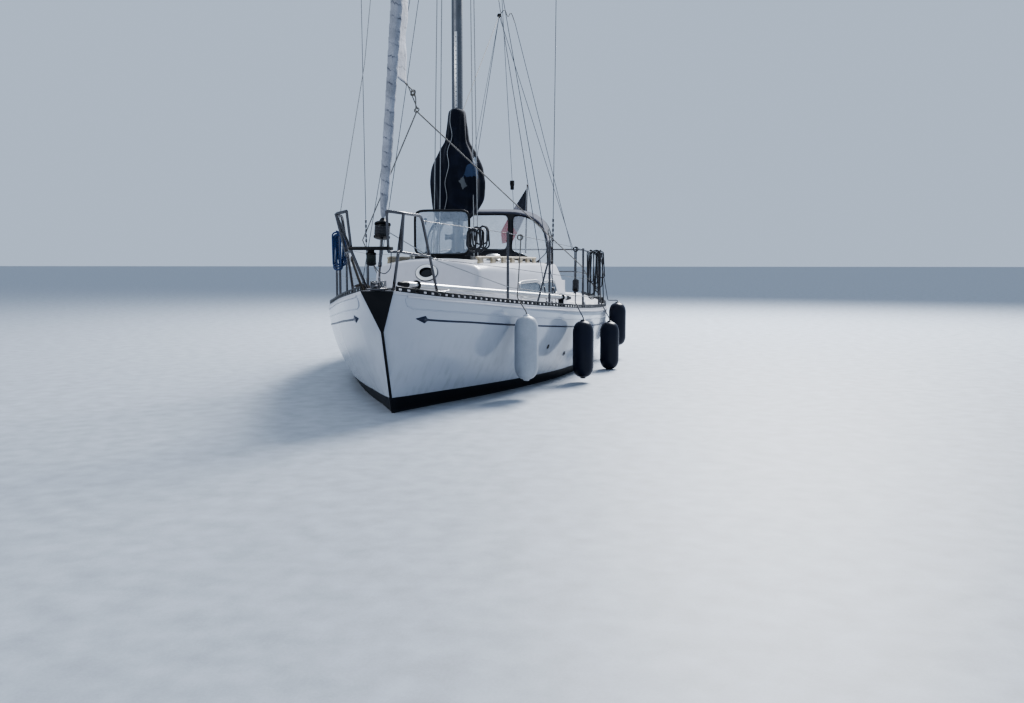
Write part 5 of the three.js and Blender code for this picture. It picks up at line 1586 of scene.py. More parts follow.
def make_pulpit_half(name, side):
    bm = bmesh.new()

    def p(row):
        return at(row[0], side * row[1], row[2])

    def foot(row):
        return at(row[0], side * row[1], deck_z(*row) - 0.002)

    rail = [p(r) for r in PULPIT_RAIL] + [foot(PULPIT_FEET["outer"])]
    inner = foot(PULPIT_FEET["inner"])
    tube(bm, bent(rail, 0.07), RAIL_TUBE, 14)
    tube(bm, [inner, rail[1]], RAIL_TUBE, 14)
    tube(bm, bent([p(r) for r in PULPIT_MID], 0.05), RAIL_THIN, 12)
    tube(bm, [p(PULPIT_MID[1]), rail[1]], RAIL_THIN, 12)
    tube(bm, [p(PULPIT_MID[0]), rail[0]], RAIL_THIN, 12)
    for point in (inner, rail[3]):
        rail_foot(bm, point)
    make(f"bow_rail_{name}", bm, "steel", stands_for=[f"pulpit_{name}"], sharp=50)


def make_lantern():
    low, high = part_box("bow_light")
    top = Vector(((low.x + high.x) / 2, 0.0, high.z))
    bm, lens = bmesh.new(), bmesh.new()
    case = [(0.0, 0.0), (0.026, 0.0), (0.026, -0.016), (0.040, -0.022), (0.042, -0.036), (0.030, -0.038),
            (0.030, -0.096), (0.042, -0.098), (0.040, -0.112), (0.026, -0.124), (0.0, -0.126)]
    glass = [(0.0, -0.038), (0.038, -0.038), (0.039, -0.067), (0.038, -0.097), (0.0, -0.097)]
    lathe(bm, case, top, (0, 0, 1), 32)
    lathe(lens, glass, top, (0, 0, 1), 32)
    cable = [(0.0, 0.020, -0.118), (-0.01, 0.055, -0.165), (-0.02, 0.105, -0.185), (-0.02, 0.150, -0.140),
             (-0.01, 0.160, -0.05), (-0.01, 0.158, 0.0)]
    tube(bm, curve_through([top + Vector(p) for p in cable], 5), 0.0035, 8)
    make("lantern_body", bm, "black_trim", stands_for=["bow_light"], sharp=35)
    make("lantern_lens", lens, "lamp_glass")


def make_stem_fitting():
    bm = of_node("stem_fitting", 0.002)
    roller = [(0.0, -0.030), (0.034, -0.030), (0.022, -0.008), (0.022, 0.008), (0.034, 0.030), (0.0, 0.030)]
    s, z = ROLLER_PLACE
    lathe(bm, roller, at(s, 0.0, z), (0, 1, 0), 24)
    tube(bm, [at(s, -0.044, z), at(s, 0.044, z)], 0.006, 12)
    make("stem_head", bm, "steel", stands_for=["stem_fitting"])


def make_anchor():
    """Plough anchor stood against the rail"""
    bm = bmesh.new()
    foot, head = at(0.520, -0.255, deck_z(0.52, 0.286) + 0.012), at(0.250, -0.285, 1.325)
    tube(bm, [foot, foot.lerp(head, 0.5) + Vector((0.01, 0, 0)), head], 0.019, 10, flat=0.6)
    for way in (-1, 1):
        def share(u, v, way=way):
            reach = 0.085 * math.sin(math.pi * min(1.0, v * 0.9 + 0.1)) * u
            return at(0.60 - 0.22 * v, -0.255 + way * reach,
                      deck_z(0.56, 0.30) + 0.012 + 0.10 * v + 0.045 * u * (1 - v))
        patch(bm, 6, 10, share)
    crown = at(0.560, -0.325, deck_z(0.56, 0.33) + 0.012), at(0.560, -0.180, deck_z(0.56, 0.2) + 0.012)
    tube(bm, crown, 0.014, 10)
    lathe(bm, [(0.012, -0.006), (0.024, -0.006), (0.024, 0.006), (0.012, 0.006), (0.012, -0.006)],
          head + Vector((0.0, 0, 0.004)), (0, 1, 0), 16)
    make("anchor_iron", bm, "galvanised", stands_for=["anchor"], sharp=45)


class YACHT_OT_bow(bpy.types.Operator):
    """Makes the split bow rail, the plank, lantern, stem fitting and anchor"""
    bl_idname = "yacht.bow"
    bl_label = "Bow"

    def execute(self, context):
        for name, side in SIDES:
            make_pulpit_half(name, side)
        low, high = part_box("bow_plank")
        plank = bmesh.new()
        block(plank, low, high, 0.008)
        make("bow_step", plank, "black_trim", stands_for=["bow_plank"])
        make_lantern()
        make_stem_fitting()
        make_anchor()
        return {"FINISHED"}


# Guardrails and pushpit

def make_guardrail(name, side):
    bm = bmesh.new()

    def on_deck(s, up=0.0):
        return at(s, side * rail_y(s), deck_z(s, rail_y(s)) + up)

    for s in STANCHIONS:
        foot = on_deck(s, -0.002)
        top = foot + Vector((0, 0, GUARD_HEIGHT))
        tube(bm, [foot, top], RAIL_TUBE, setting("tube_sides"))
        cap = [(0.0, 0.012), (0.010, 0.010), (0.0135, 0.0), (0.0135, -0.02), (0.0, -0.02)]
        lathe(bm, cap, top, (0, 0, 1), 16)
        rail_foot(bm, foot, 0.032)
    brace = on_deck(BRACE_FOOT)
    tube(bm, [brace, on_deck(STANCHIONS[1], 0.52)], RAIL_TUBE * 0.8, 12)
    rail_foot(bm, brace, 0.026)
    for level in (1, 0.5):
        line = [at(s, side * y, z) for s, y, z in lifeline_points(level)]
        tube(bm, line, setting("lifeline"), 8)
        swage = [(0.0, 0.0), (0.005, 0.0), (0.007, 0.01), (0.007, 0.07), (0.004, 0.08), (0.0, 0.08)]
        for end, inner in (line[:2], line[:-3:-1]):
            lathe(bm, swage, end, (inner - end).normalized(), 10)
    make(f"guardrail_{name}_bright", bm, "steel", stands_for=[f"guardrail_{name}"], sharp=50)


def make_pushpit():
    bm = bmesh.new()
    height = GUARD_HEIGHT + PUSHPIT_RISE
    half = height / 2
    leg_y, bend_y = rail_y(PUSHPIT_LEG), rail_y(PUSHPIT_BEND)

    def top(s, y, up):
        return at(s, y, deck_z(s, 0.9 * beam(s)) + up)

    leg, corner = (PUSHPIT_LEG, leg_y, GUARD_HEIGHT), (*PUSHPIT_CORNER, height)
    ring = [leg, (PUSHPIT_BEND, bend_y, height), corner]
    ring += [(s, -y, up) for s, y, up in reversed(ring)]
    tube(bm, bent([top(*p) for p in ring], 0.12, 8), RAIL_TUBE, 14)
    low = [(PUSHPIT_LEG, leg_y, half), (*PUSHPIT_CORNER, half)]
    low += [(s, -y, up) for s, y, up in reversed(low)]
    tube(bm, bent([top(*p) for p in low], 0.10, 6), RAIL_THIN, 12)
    for side in (-1, 1):
        for s, y, up in (leg, corner):
            foot = at(s, side * y, deck_z(s, y) - 0.002)
            tube(bm, [foot, top(s, side * y, up)], RAIL_TUBE, 14)
            rail_foot(bm, foot)
    make("stern_rail", bm, "steel", stands_for=["pushpit"], sharp=50)


class YACHT_OT_rails(bpy.types.Operator):
    """Makes the guardrails and the stern rail"""
    bl_idname = "yacht.rails"
    bl_label = "Rails"

    def execute(self, context):
        for name, side in SIDES:
            make_guardrail(name, side)
        make_pushpit()
        return {"FINISHED"}


# Spars

def oval_tube(bm, low, high, long, half):
    """Upright tube of oval section between two points"""
    def place(u, v):
        turn = 2 * math.pi * u
        return low.lerp(high, v) + Vector((long * math.cos(turn), half * math.sin(turn), 0))

    close_tube(bm, patch(bm, 40, 1, place, (math.pi * (long + half), (high - low).length)))


def make_mast():
    bm = bmesh.new()
    foot = roof_z(MAST_S, 0) - 0.004
    oval_tube(bm, at(MAST_S, 0, foot), at(MAST_S, 0, MAST_TOP), MAST_LONG, MAST_HALF)
    oval_tube(bm, at(MAST_S, 0, foot), at(MAST_S, 0, foot + 0.022), MAST_LONG + 0.035, MAST_HALF + 0.035)
    aft = at(MAST_S + MAST_LONG + 0.003, 0, 0)
    block(bm, (aft.x - 0.004, -0.007, 2.99), (aft.x + 0.006, 0.007, MAST_TOP - 0.2), 0.001)
    block(bm, at(MAST_S + 0.13, -0.038, MAST_TOP - 0.04), at(MAST_S - 0.11, 0.038, MAST_TOP + 0.008), 0.006)
    for s in (MAST_S - 0.085, MAST_S + 0.105):
        sheave(bm, at(s, 0, MAST_TOP - 0.035), 0.030)
    for side in (1, -1):
        root = at(MAST_S, side * 0.03, SPREADER_Z - 0.03)
        tip = at(MAST_S + 0.04, side * SPREADER_REACH, SPREADER_Z)
        blade = [root.lerp(tip, i / 6) for i in range(7)]
        tube(bm, blade, lambda t: 0.034 - 0.014 * t, 14, up=(0, 0, 1), flat=1.9)
        tube(bm, [tip - Vector((0, side * 0.02, 0)), tip + Vector((0, side * 0.012, 0))], 0.020, 12)
        block(bm, (STEM_X - MAST_S - 0.05, side * 0.058 - 0.008, SPREADER_Z - 0.10),
              (STEM_X - MAST_S + 0.05, side * 0.058 + 0.008, SPREADER_Z + 0.03), 0.004)
        block(bm, at(MAST_S + 0.09, side * 0.058 - 0.028, SPREADER_Z - 0.21),
              at(MAST_S - 0.06, side * 0.058 + 0.028, SPREADER_Z - 0.195), 0.003)
        winch = [(0.0, 0.0), (0.040, 0.0), (0.040, 0.010), (0.028, 0.020), (0.026, 0.065), (0.034, 0.075),
                 (0.034, 0.085), (0.0, 0.088)]
        lathe(bm, winch, at(MAST_S - 0.02, side * (MAST_HALF - 0.004), 1.58), (0, side, 0), 24)
        make_cleat(bm, at(MAST_S, side * (MAST_HALF + 0.004), 1.44), (0, 0, 1), 0.16)
    for up in (1, -1):
        z = BOOM_Z + up * 0.0343
        block(bm, at(GOOSENECK_S + 0.014, -0.016, z - 0.004), at(MAST_S + 0.04, 0.016, z + 0.004), 0.002)
    make("mast_section", bm, "alloy", stands_for=["mast"], sharp=35)


def make_mast_track():
    """Pale track on the mast's front with a row of holes, drawn as dark discs of painted shade"""
    track, holes = bmesh.new(), bmesh.new()
    face = MAST_S - MAST_LONG - 0.004
    block(track, at(face + 0.008, -0.016, 3.02), at(face - 0.004, 0.016, 3.86), 0.002)
    # Each hole is a dark disc, painted shade
    for i in range(16):
        z = 3.05 + i * 0.05
        disc(holes, at(face - 0.004, 0, z), (1, 0, 0), 0.006, -0.001, 0.002, 10)
    make("mast_track", track, "bright_alloy")
    make("mast_track_holes", holes, "rubber")


def make_boom():
    bm = bmesh.new()
    end = GOOSENECK_S + BOOM_LENGTH
    for a, b, flat in ((GOOSENECK_S + 0.06, end - 0.02, 0.69), (end - 0.03, end, 0.70)):
        tube(bm, [boom_point(a), boom_point(b)], BOOM_HALF, 32, up=(0, 0, 1), flat=flat)
    tube(bm, [at(GOOSENECK_S, 0, BOOM_Z - 0.030), at(GOOSENECK_S, 0, BOOM_Z + 0.030)], 0.014, 16)
    block(bm, at(GOOSENECK_S + 0.09, -0.013, BOOM_Z - 0.024), at(GOOSENECK_S, 0.013, BOOM_Z + 0.024), 0.003)
    for s in (end - 0.3, end - 0.9):
        here = boom_point(s, -0.062)
        loop = [here + Vector(p) for p in ((0.03, 0, 0.008), (0.0, 0, -0.026), (-0.03, 0, 0.008))]
        tube(bm, curve_through(loop, 6), 0.005, 8)
    for v in bm.verts:
        v.co = swung(v.co)
    make("boom_section", bm, "alloy", "boom", ["boom"], 35)


class YACHT_OT_spars(bpy.types.Operator):
    """Makes the mast, its spreaders and track, and the boom"""
    bl_idname = "yacht.spars"
    bl_label = "Spars"

    def execute(self, context):
        make_mast()
        make_mast_track()
        make_boom()
        return {"FINISHED"}


# Standing rigging

# Where the beaded sleeve of a cap shroud begins, up from its foot
SLEEVE = 0.70


def turnbuckle(bm, foot, head, length=0.24, sleeve=0.0):
    """Screw and body at the foot of a stay; a beaded sleeve further up if its place is given"""
    along = (head - foot).normalized()
    half = length / 2
    profile = [(0.0, 0.0), (0.010, 0.0), (0.010, 0.030), (0.005, 0.034), (0.005, 0.060), (0.010, 0.064),
               (0.010, 0.064 + half), (0.005, 0.068 + half), (0.005, length), (0.007, length + 0.004),
               (0.007, length + 0.05), (0.004, length + 0.055), (0.0, length + 0.055)]
    lathe(bm, profile, foot, along, 12)
    if sleeve:
        bead = [(0.005, 0.0), (0.011, 0.008), (0.011, 0.034), (0.005, 0.042)]
        beads = [(r, i * 0.055 + h) for i in range(5) for r, h in bead]
        lathe(bm, [(0.0, 0.0)] + beads + [(0.0, 0.275)], foot + along * sleeve, along, 12)


def make_shrouds(name, side):
    bm = bmesh.new()
    wire = setting("wire")

    def foot(s, y):
        return at(s, side * y, deck_z(s, y) + 0.030)

    spread = at(MAST_S + 0.04, side * (SPREADER_REACH + wire + 0.003), SPREADER_Z)
    cap = foot(MAST_S + 0.02, 1.078)
    runs = [(cap, spread, SLEEVE)]
    for low, s in (((3.15, 1.062), MAST_S - 0.04), ((3.96, 1.09), MAST_S + 0.07)):
        runs.append((foot(*low), at(s, side * 0.07, SPREADER_Z - 0.2), 0.0))
    for low, high, sleeve in runs:
        tube(bm, [low, high], wire, 8)
        turnbuckle(bm, low, high, sleeve=sleeve)
        block(bm, low - Vector((0.022, 0.004, 0.045)), low + Vector((0.022, 0.004, 0.022)), 0.003)
    tube(bm, [spread, at(MAST_S + 0.01, side * 0.03, MAST_TOP)], wire, 8)
    fore, aft = (at(s, side * y, deck_z(s, y) + 0.006) for s, y in ((3.10, 1.06), (4.01, 1.094)))
    bar(bm, fore, aft, 0.045, 0.012, 0.003)
    make(f"stays_{name}", bm, "steel", stands_for=[f"shrouds_{name}"], sharp=50)


def make_backstay():
    bm = bmesh.new()
    low, high = at(8.88, 0, deck_z(8.88, 0)), at(MAST_S + 0.11, 0, MAST_TOP)
    tube(bm, [low, high], setting("wire"), 8)
    turnbuckle(bm, low + Vector((0, 0, 0.03)), high, 0.3)
    block(bm, low - Vector((0.03, 0.005, 0.01)), low + Vector((0.03, 0.005, 0.05)), 0.003)
    make("backstay_wire", bm, "steel", stands_for=["backstay"], sharp=50)


class YACHT_OT_stays(bpy.types.Operator):
    """Makes the shrouds and the backstay with their screws"""
    bl_idname = "yacht.stays"
    bl_label = "Stays"

    def execute(self, context):
        for name, side in SIDES:
            make_shrouds(name, side)
        make_backstay()
        return {"FINISHED"}


# Running rigging

# Taut lines, each a short list of points
HALYARDS = [
    [(3.45, -0.045, 12.80), (3.15, -0.20, 1.37)],
    [(3.45, -0.030, 12.80), (3.22, -0.15, 1.37)],
    [(3.60, 0.070, 12.80), (3.30, 0.27, 1.37)],
    [(3.60, 0.055, 12.80), (3.34, 0.22, 1.37)],
]
SPINNAKER_LIFT = [(3.40, -0.02, 12.78), (1.70, -0.56, 3.2), (0.90, -0.60, 1.62)]
SPLIT = (1.48, 0.0, 2.71)
PORT_SHEET = [SPLIT, (5.60, 1.27, 1.24), (6.10, 1.500, 0.80)]
STARBOARD_SHEET = [SPLIT, (4.10, -1.28, 1.56), (6.10, -1.500, 0.80)]

# Backstay: the plate that its lines meet at, and what leads off from there
PLATE = (7.10, -0.050, 4.85)
RING = (7.34, 0.150, 4.79)
BACKSTAY_LINES = [
    [PLATE, (8.78, 0.92, 1.46)],
    [PLATE, (8.78, -0.92, 1.46)],
    [RING, (8.70, 0.90, 1.46)],
    [PLATE, (3.80, 0.0, 3.00)],
]
CURL = [PLATE, (7.16, 0.02, 4.94), (7.22, 0.06, 4.86), (7.28, 0.10, 4.92), RING]


def line_set(name, lines, radius, look):
    bm = bmesh.new()
    for points in lines:
        tube(bm, [at(*p) for p in points], radius, 8)
    make(name, bm, look)


def make_clew_knot():
    """Bowlines and the short tails between the clew and the split of the sheets"""
    bm = bmesh.new()
    clew, knot, split = at(1.06, 0.0, 2.90), at(1.33, 0.0, 2.84), at(*SPLIT)
    for shift in (-0.008, 0.008):
        tube(bm, curve_through([clew + Vector((0, shift, 0)), knot + Vector((0, -shift * 2, 0.01)),
                                split + Vector((0, shift, 0.02))], 6), 0.0055, 8)
    turns = [2 * math.pi * k / 14 for k in range(14)]
    for centre, count in ((knot, 3), (split, 2)):
        for i in range(count):
            way = 1 if i % 2 else -1
            ring = [centre + Vector((0.014 * math.cos(t), 0.022 * math.sin(t) * way,
                                     0.018 * math.sin(t + i) + 0.012 * i)) for t in turns]
            tube(bm, ring, 0.0055, 8, closed=True)
    make("sheet_knots", bm, "grey_rope")


def make_backstay_parts():
    lines = [[at(*p) for p in line] for line in BACKSTAY_LINES]
    bm = bmesh.new()
    for line in lines[:3]:
        tube(bm, line, 0.0045, 8)
    make("backstay_legs", bm, "steel")
    tails = bmesh.new()
    tube(tails, lines[3], 0.004, 8)
    tube(tails, curve_through([at(*p) for p in CURL], 6), 0.006, 8)
    make("backstay_tails", tails, "grey_rope")
    strop = bmesh.new()
    end = GOOSENECK_S + BOOM_LENGTH
    tube(strop, [swung(boom_point(end - 0.02, BOOM_HALF)), at(*PLATE)], 0.003, 8)
    piece = make("boom_strop", strop, "steel", body=None)
    swung(boom_point(end, BOOM_HALF))
    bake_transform(piece)
    dark = bmesh.new()
    middle = at(8.13, 0.0, 2.50)
    for shift in (-0.012, 0.012):
        disc(dark, middle + Vector((0, shift * 1.6, 0.02)), (0, 1, 0), 0.040, -0.012, 0.012)
    block(dark, middle - Vector((0.016, 0.028, 0.085)), middle + Vector((0.016, 0.028, 0.06)), 0.008)
    disc(dark, at(*PLATE), (1, 0, 0), 0.030, -0.006, 0.006)
    make("backstay_blocks", dark, "black_trim")


class YACHT_OT_running(bpy.types.Operator):
    """Makes the halyards, sheets, lifts and the backstay's lines"""
    bl_idname = "yacht.running"
    bl_label = "Running rigging"

    def execute(self, context):
        line_set("halyards", HALYARDS, 0.0055, "white_rope")
        line_set("pole_lift", [SPINNAKER_LIFT], 0.004, "white_rope")
        line_set("genoa_sheets", [PORT_SHEET, STARBOARD_SHEET], 0.007, "grey_rope")
        make_clew_knot()
        make_backstay_parts()
        return {"FINISHED"}


# Rolled headsail and its drum

ROLL_PITCH = 0.118

# The roll. Columns: z, radius
ROLL = [(1.662, 0.009), (1.70, 0.024), (1.85, 0.036), (2.20, 0.044), (2.75, 0.045), (3.57, 0.054),
        (4.80, 0.062), (7.50, 0.054), (10.0, 0.040), (12.1, 0.024), (12.18, 0.010)]

# The loose edge that ends in the clew, and its outline. Columns: z with its sign turned, s
CLEW_TOP = 4.60
CLEW_HEIGHT = 1.70
LEECH = [(-4.60, 1.06), (-4.20, 1.10), (-3.65, 1.125), (-3.34, 1.085), (-3.09, 1.110), (-2.95, 1.120),
         (-2.90, 1.115)]

# Furling drum on the stay. Columns: radius, height
DRUM = [(0.0, 1.185), (0.009, 1.185), (0.009, 1.262), (0.016, 1.268), (0.016, 1.298), (0.013, 1.304),
        (0.013, 1.495), (0.058, 1.500), (0.068, 1.504), (0.068, 1.513), (0.048, 1.520), (0.048, 1.604),
        (0.068, 1.609), (0.068, 1.619), (0.062, 1.624), (0.038, 1.630), (0.024, 1.650), (0.020, 1.661),
        (0.0, 1.661)]

# Rows of DRUM that are the link below it, turns of line on it, and the line's lead aft
DRUM_LINK_ROWS = 7
DRUM_TURNS = 6
DRUM_LEAD = [(0.40, 0.40, 1.32), (1.70, 0.84, 1.06), (2.60, 1.19, 0.97), (3.85, 1.45, 0.90),
             (5.20, 1.54, 0.86), (6.20, 1.50, 0.84)]


def make_rolled_sail():
    """Roll whose cloth edge winds up it as a long low step"""
    bm = bmesh.new()
    foot, head = ROLL[0][0], ROLL[-1][0]

    def place(u, v):
        z = foot + v * (head - foot)
        turn = 2 * math.pi * u
        part = (u + (z - foot) / ROLL_PITCH) % 1.0
        crumple = noise.noise(Vector((math.cos(turn) * 2, math.sin(turn) * 2, z * 6)))
        r = between(ROLL, z)[1] * (0.95 + 0.09 * part + 0.05 * crumple)
        return stay_point(z) + Vector((r * math.cos(turn), r * math.sin(turn), 0.0))

    close_tube(bm, patch(bm, 36, 800, place, (1.0, head - foot)))
    tube(bm, [stay_point(12.16), stay_point(12.85)], 0.004, 8)
    make("rolled_genoa", bm, "rolled_sail", stands_for=["furled_genoa"], sharp=60)


def make_clew():
    """Loose edge of the sail outside its roll, drawn in to the clew"""
    bm = bmesh.new()

    def place(u, v):
        z = CLEW_TOP - CLEW_HEIGHT * v
        start = stay_point(z) + Vector((-between(ROLL, z)[1] * 0.6, 0.0, 0))
        reach = max(0.02, between(LEECH, -z)[1] - (STEM_X - start.x))
        fold = 0.010 * math.sin(9 * v + 3 * u) + 0.006 * math.sin(31 * v) * u
        return start + Vector((-reach * u, fold, 0))

    patch(bm, 10, 60, place, (0.4, CLEW_HEIGHT))
    piece = make("genoa_clew", bm, "rolled_sail", wall=-0.003)


def make_drum():
    """Drum on its link, the line wound on it and the line's lead aft"""
    foot = stay_point(STAY_FOOT[1])
    axis = (stay_point(1.7) - stay_point(1.2)).normalized()
    profile = [(r, (z - STAY_FOOT[1]) / axis.z) for r, z in DRUM]
    body, link, turns, lead = (bmesh.new() for _ in range(4))
    centre = (0.0, profile[DRUM_LINK_ROWS - 1][1])
    lathe(body, [centre] + profile[DRUM_LINK_ROWS - 1:], foot, axis, 40)
    lathe(link, profile[:DRUM_LINK_ROWS] + [centre], foot, axis, 24)
    make("furler_body", body, "black_trim", stands_for=["furler_drum"], sharp=35)
    make("furler_link", link, "steel", stands_for=["furler_drum"], sharp=35)
    run = []
    steps = DRUM_TURNS * 16
    for i in range(steps):
        turn = 2 * math.pi * i / 16
        offset = Vector((0.058 * math.cos(turn), 0.058 * math.sin(turn), 0))
        run.append(stay_point(1.526 + 0.074 * i / steps) + offset)
    tube(turns, run, 0.0075, 8)
    make("furling_turns", turns, "black_rope")
    tube(lead, [run[-1]] + [at(*p) for p in DRUM_LEAD], 0.004, 8)
    make("furling_line", lead, "white_rope")


class YACHT_OT_headsail(bpy.types.Operator):
    """Makes the rolled headsail, its clew and the furling drum"""
    bl_idname = "yacht.headsail"
    bl_label = "Headsail"

    def execute(self, context):
        make_rolled_sail()
        make_clew()
        make_drum()
        return {"FINISHED"}


# Sail cover

# Cloth round the mast. Columns: z, reach ahead of the mast, half-breadth to port and to starboard
COLLAR = [(1.765, 0.100, 0.110, 0.235), (1.86, 0.150, 0.205, 0.285), (1.95, 0.175, 0.270, 0.295),
          (2.02, 0.185, 0.305, 0.300), (2.20, 0.200, 0.312, 0.310), (2.37, 0.190, 0.285, 0.285),
          (2.53, 0.160, 0.210, 0.210), (2.64, 0.115, 0.130, 0.130), (3.01, 0.095, 0.094, 0.094)]

# Cloth over the boom. Columns: s, lowest and highest point, half-breadth
COVER = [(3.74, 1.780, 2.640, 0.300), (4.30, 1.862, 2.480, 0.270), (5.20, 1.966, 2.400, 0.225),
         (6.30, 2.073, 2.380, 0.185), (7.02, 2.142, 2.370, 0.150)]
COVER_VOXEL = 0.022

# Where the cover stops following the mast, and where it begins to follow the boom alone
COVER_BEND = ((0.86, 0, 1.9), (0.48, 0, 1.9))

# Lacing down the front of the cover. Columns: distance to starboard, z
LACING = [(0.045, 3.000), (0.055, 2.86), (0.030, 2.70), (0.072, 2.52), (0.050, 2.36), (0.098, 2.18),
          (0.080, 2.02), (0.125, 1.84)]


def cover_form(bm):
    """Collar round the mast and the long part over the boom, as two closed forms"""
    def collar(u, v):
        z = COLLAR[0][0] + v * (COLLAR[-1][0] - COLLAR[0][0])
        _, ahead, port, starboard = between(COLLAR, z)
        turn = 2 * math.pi * u
        back = 0.20 if v < 0.5 else 0.20 - 0.10 * (v - 0.5) / 0.5
        reach = MAST_LONG + ahead if math.cos(turn) > 0 else back
        half = port if math.sin(turn) > 0 else starboard
        return at(MAST_S - reach * math.cos(turn), half * math.sin(turn), z)

    def cover(u, v):
        s = COVER[0][0] + v * (COVER[-1][0] - COVER[0][0])
        _, low, high, half = between(COVER, s)
        turn = 2 * math.pi * u
        z = (low + high) / 2 - (high - low) / 2 * math.cos(turn)
        fall = 0.55 + 0.45 * min(1.0, (high - z) / (high - low) / 0.45)
        return swung(at(s, half * math.sin(turn) * fall, z))

    for place, steps in ((collar, 40), (cover, 60)):
        close_tube(bm, patch(bm, 32, steps, place))
    bmesh.ops.recalc_face_normals(bm, faces=bm.faces)


def welded(bm, name, size):
    """The same forms remeshed into one skin"""
    rough = bpy.data.meshes.new(name)
    bm.to_mesh(rough)
    bm.free()
    form = bpy.data.objects.new(name, rough)
    bpy.context.scene.collection.objects.link(form)
    remesh = form.modifiers.new("Remesh", "REMESH")
    remesh.mode = "VOXEL"
    remesh.voxel_size = size
    bpy.context.view_layer.update()
    mesh = bpy.data.meshes.new_from_object(form.evaluated_get(bpy.context.evaluated_depsgraph_get()))
    bpy.data.objects.remove(form)
    bm = bmesh.new()
    bm.from_mesh(mesh)
    return bm


def cover_fold(point):
    """How far a fold lifts the cloth: folds hang from the mast and run aft along the boom"""
    mast = Vector((STEM_X - MAST_S, 0, 0))
    flat = Vector((point.x - mast.x, point.y, 0))
    angle = math.atan2(flat.y, flat.x)
    near = max(0.0, 1.0 - max(0.0, mast.x - point.x) / 0.7)
    wander = noise.noise(Vector((point.x * 1.5, point.y * 2, point.z * 1.6)))
    hung = math.sin(11 * angle + 5 * wander + 1.5 * point.z) * near
    aft = noise.noise(Vector((point.x * 2.2, point.y * 7, point.z * 9))) * (1 - near) * 1.6
    top = min(1.0, max(0.0, (3.02 - point.z) / 0.4))
    return setting("fold_depth") * (0.7 * hung * top + 0.55 * aft + 0.5 * wander)


def make_lacing(skin):
    """Cord down the front of the cover: each point lies on the cloth"""
    run = []
    for point in curve_through([(0, -y, z) for y, z in LACING], 6):
        hit = skin.ray_cast(at(2.0, point.y, point.z), Vector((-1, 0, 0)))[0]
        if hit:
            run.append(hit + Vector((0.005, 0, 0)))
    bm = bmesh.new()
    tube(bm, run, 0.0045, 8)
    make("cover_lacing", bm, "white_rope")


def make_sail_cover():
    bm = bmesh.new()
    cover_form(bm)
    bm = welded(bm, "cover_form", COVER_VOXEL)
    for _ in range(6):
        bmesh.ops.smooth_vert(bm, verts=bm.verts, factor=0.5, use_axis_x=True, use_axis_y=True,
                              use_axis_z=True)
    bm.normal_update()
    shifts = [(v, v.normal * cover_fold(v.co)) for v in bm.verts]
    for v, shift in shifts:
        v.co += shift
    make_lacing(BVHTree.FromBMesh(bm))
    uv = bm.loops.layers.uv.verify()
    for face in bm.faces:
        for loop in face.loops:
            loop[uv].uv = (loop.vert.co.x + loop.vert.co.y, loop.vert.co.z + loop.vert.co.y * 0.3)
    piece = make("sail_cover_cloth", bm, "canvas", body=None,
                 stands_for=["sail_cover", "sail_cover_collar"], sharp=180)
    smooth = piece.modifiers.new("Smooth", "SUBSURF")
    smooth.levels = smooth.render_levels = 1
    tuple(COVER_BEND[0])
    swung(COVER_BEND[1])
    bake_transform(piece)


class YACHT_OT_sail_cover(bpy.types.Operator):
    """Makes the cover over the stowed mainsail"""
    bl_idname = "yacht.sail_cover"
    bl_label = "Sail cover"

    def execute(self, context):
        make_sail_cover()
        return {"FINISHED"}


# Sprayhood

# Columns: s, half-breadth, crown height, squareness of the arch
HOOD = [(5.08, 0.640, 1.352, 2.2), (5.60, 0.840, 1.972, 3.6), (5.85, 0.862, 2.008, 3.9),
        (6.29, 0.824, 1.995, 3.9)]
HOOD_BASE = 1.230
HOOD_SAG = 0.014

# Panes. Columns: s of both ends, shares of the arch at the fore end, shares at the aft end
HOOD_PANES = [
    ((5.17, 5.555), (0.365, 0.635), (0.448, 0.552)),
    ((5.17, 5.565), (0.035, 0.330), (0.035, 0.428)),
    ((5.17, 5.565), (0.670, 0.965), (0.572, 0.965)),
    ((5.72, 6.20), (0.040, 0.140), (0.040, 0.150)),
    ((5.72, 6.20), (0.860, 0.960), (0.850, 0.960)),
]


def hood_point(s, t, out=0.0):
    """Point of the hood: t runs from the port foot over the crown to the starboard foot"""
    _, half, crown, square = between(HOOD, s)
    turn = math.pi * min(1.0, max(0.0, t))
    c, d = math.cos(turn), math.sin(turn)
    y = half * math.copysign(abs(c) ** (2 / square), c)
    z = HOOD_BASE + (crown - HOOD_BASE) * abs(d) ** (2 / square)
    sag = -HOOD_SAG * math.sin(math.pi * min(1.0, max(0.0, (s - 5.85) / 0.44))) * math.sin(math.pi * t)
    crease = 0.004 * noise.noise(Vector((s * 5, t * 9, 2.0)))
    point = at(s, y, z + sag)
    outward = Vector((0.0, point.y, point.z - HOOD_BASE)).normalized()
    return point + outward * (out + crease - 0.004)


def hood_share(s, y):
    """Share of the way round the arch of a point on the hood"""
    _, half, _, square = between(HOOD, s)
    c = math.copysign(min(1.0, abs(y) / half) ** (square / 2), y)
    return math.acos(c) / math.pi


def pane_place(pane, x, y, out=0.0):
    """Point of a pane, x and y from -1 to 1: x runs aft and y round the arch"""
    (s0, s1), fore, aft = pane
    v = (x + 1) / 2
    low, high = (a + (b - a) * v for a, b in zip(fore, aft))
    return hood_point(s0 + v * (s1 - s0), low + (y + 1) / 2 * (high - low), out)


def pane_unit(pane, point):
    """Way back from a point of the hood to its place in a pane"""
    (s0, s1), fore, aft = pane
    s = STEM_X - point.x
    v = (s - s0) / (s1 - s0)
    if not -0.2 < v < 1.2:
        return None
    low, high = (a + (b - a) * v for a, b in zip(fore, aft))
    return 2 * v - 1, 2 * (hood_share(s, point.y) - low) / (high - low) - 1


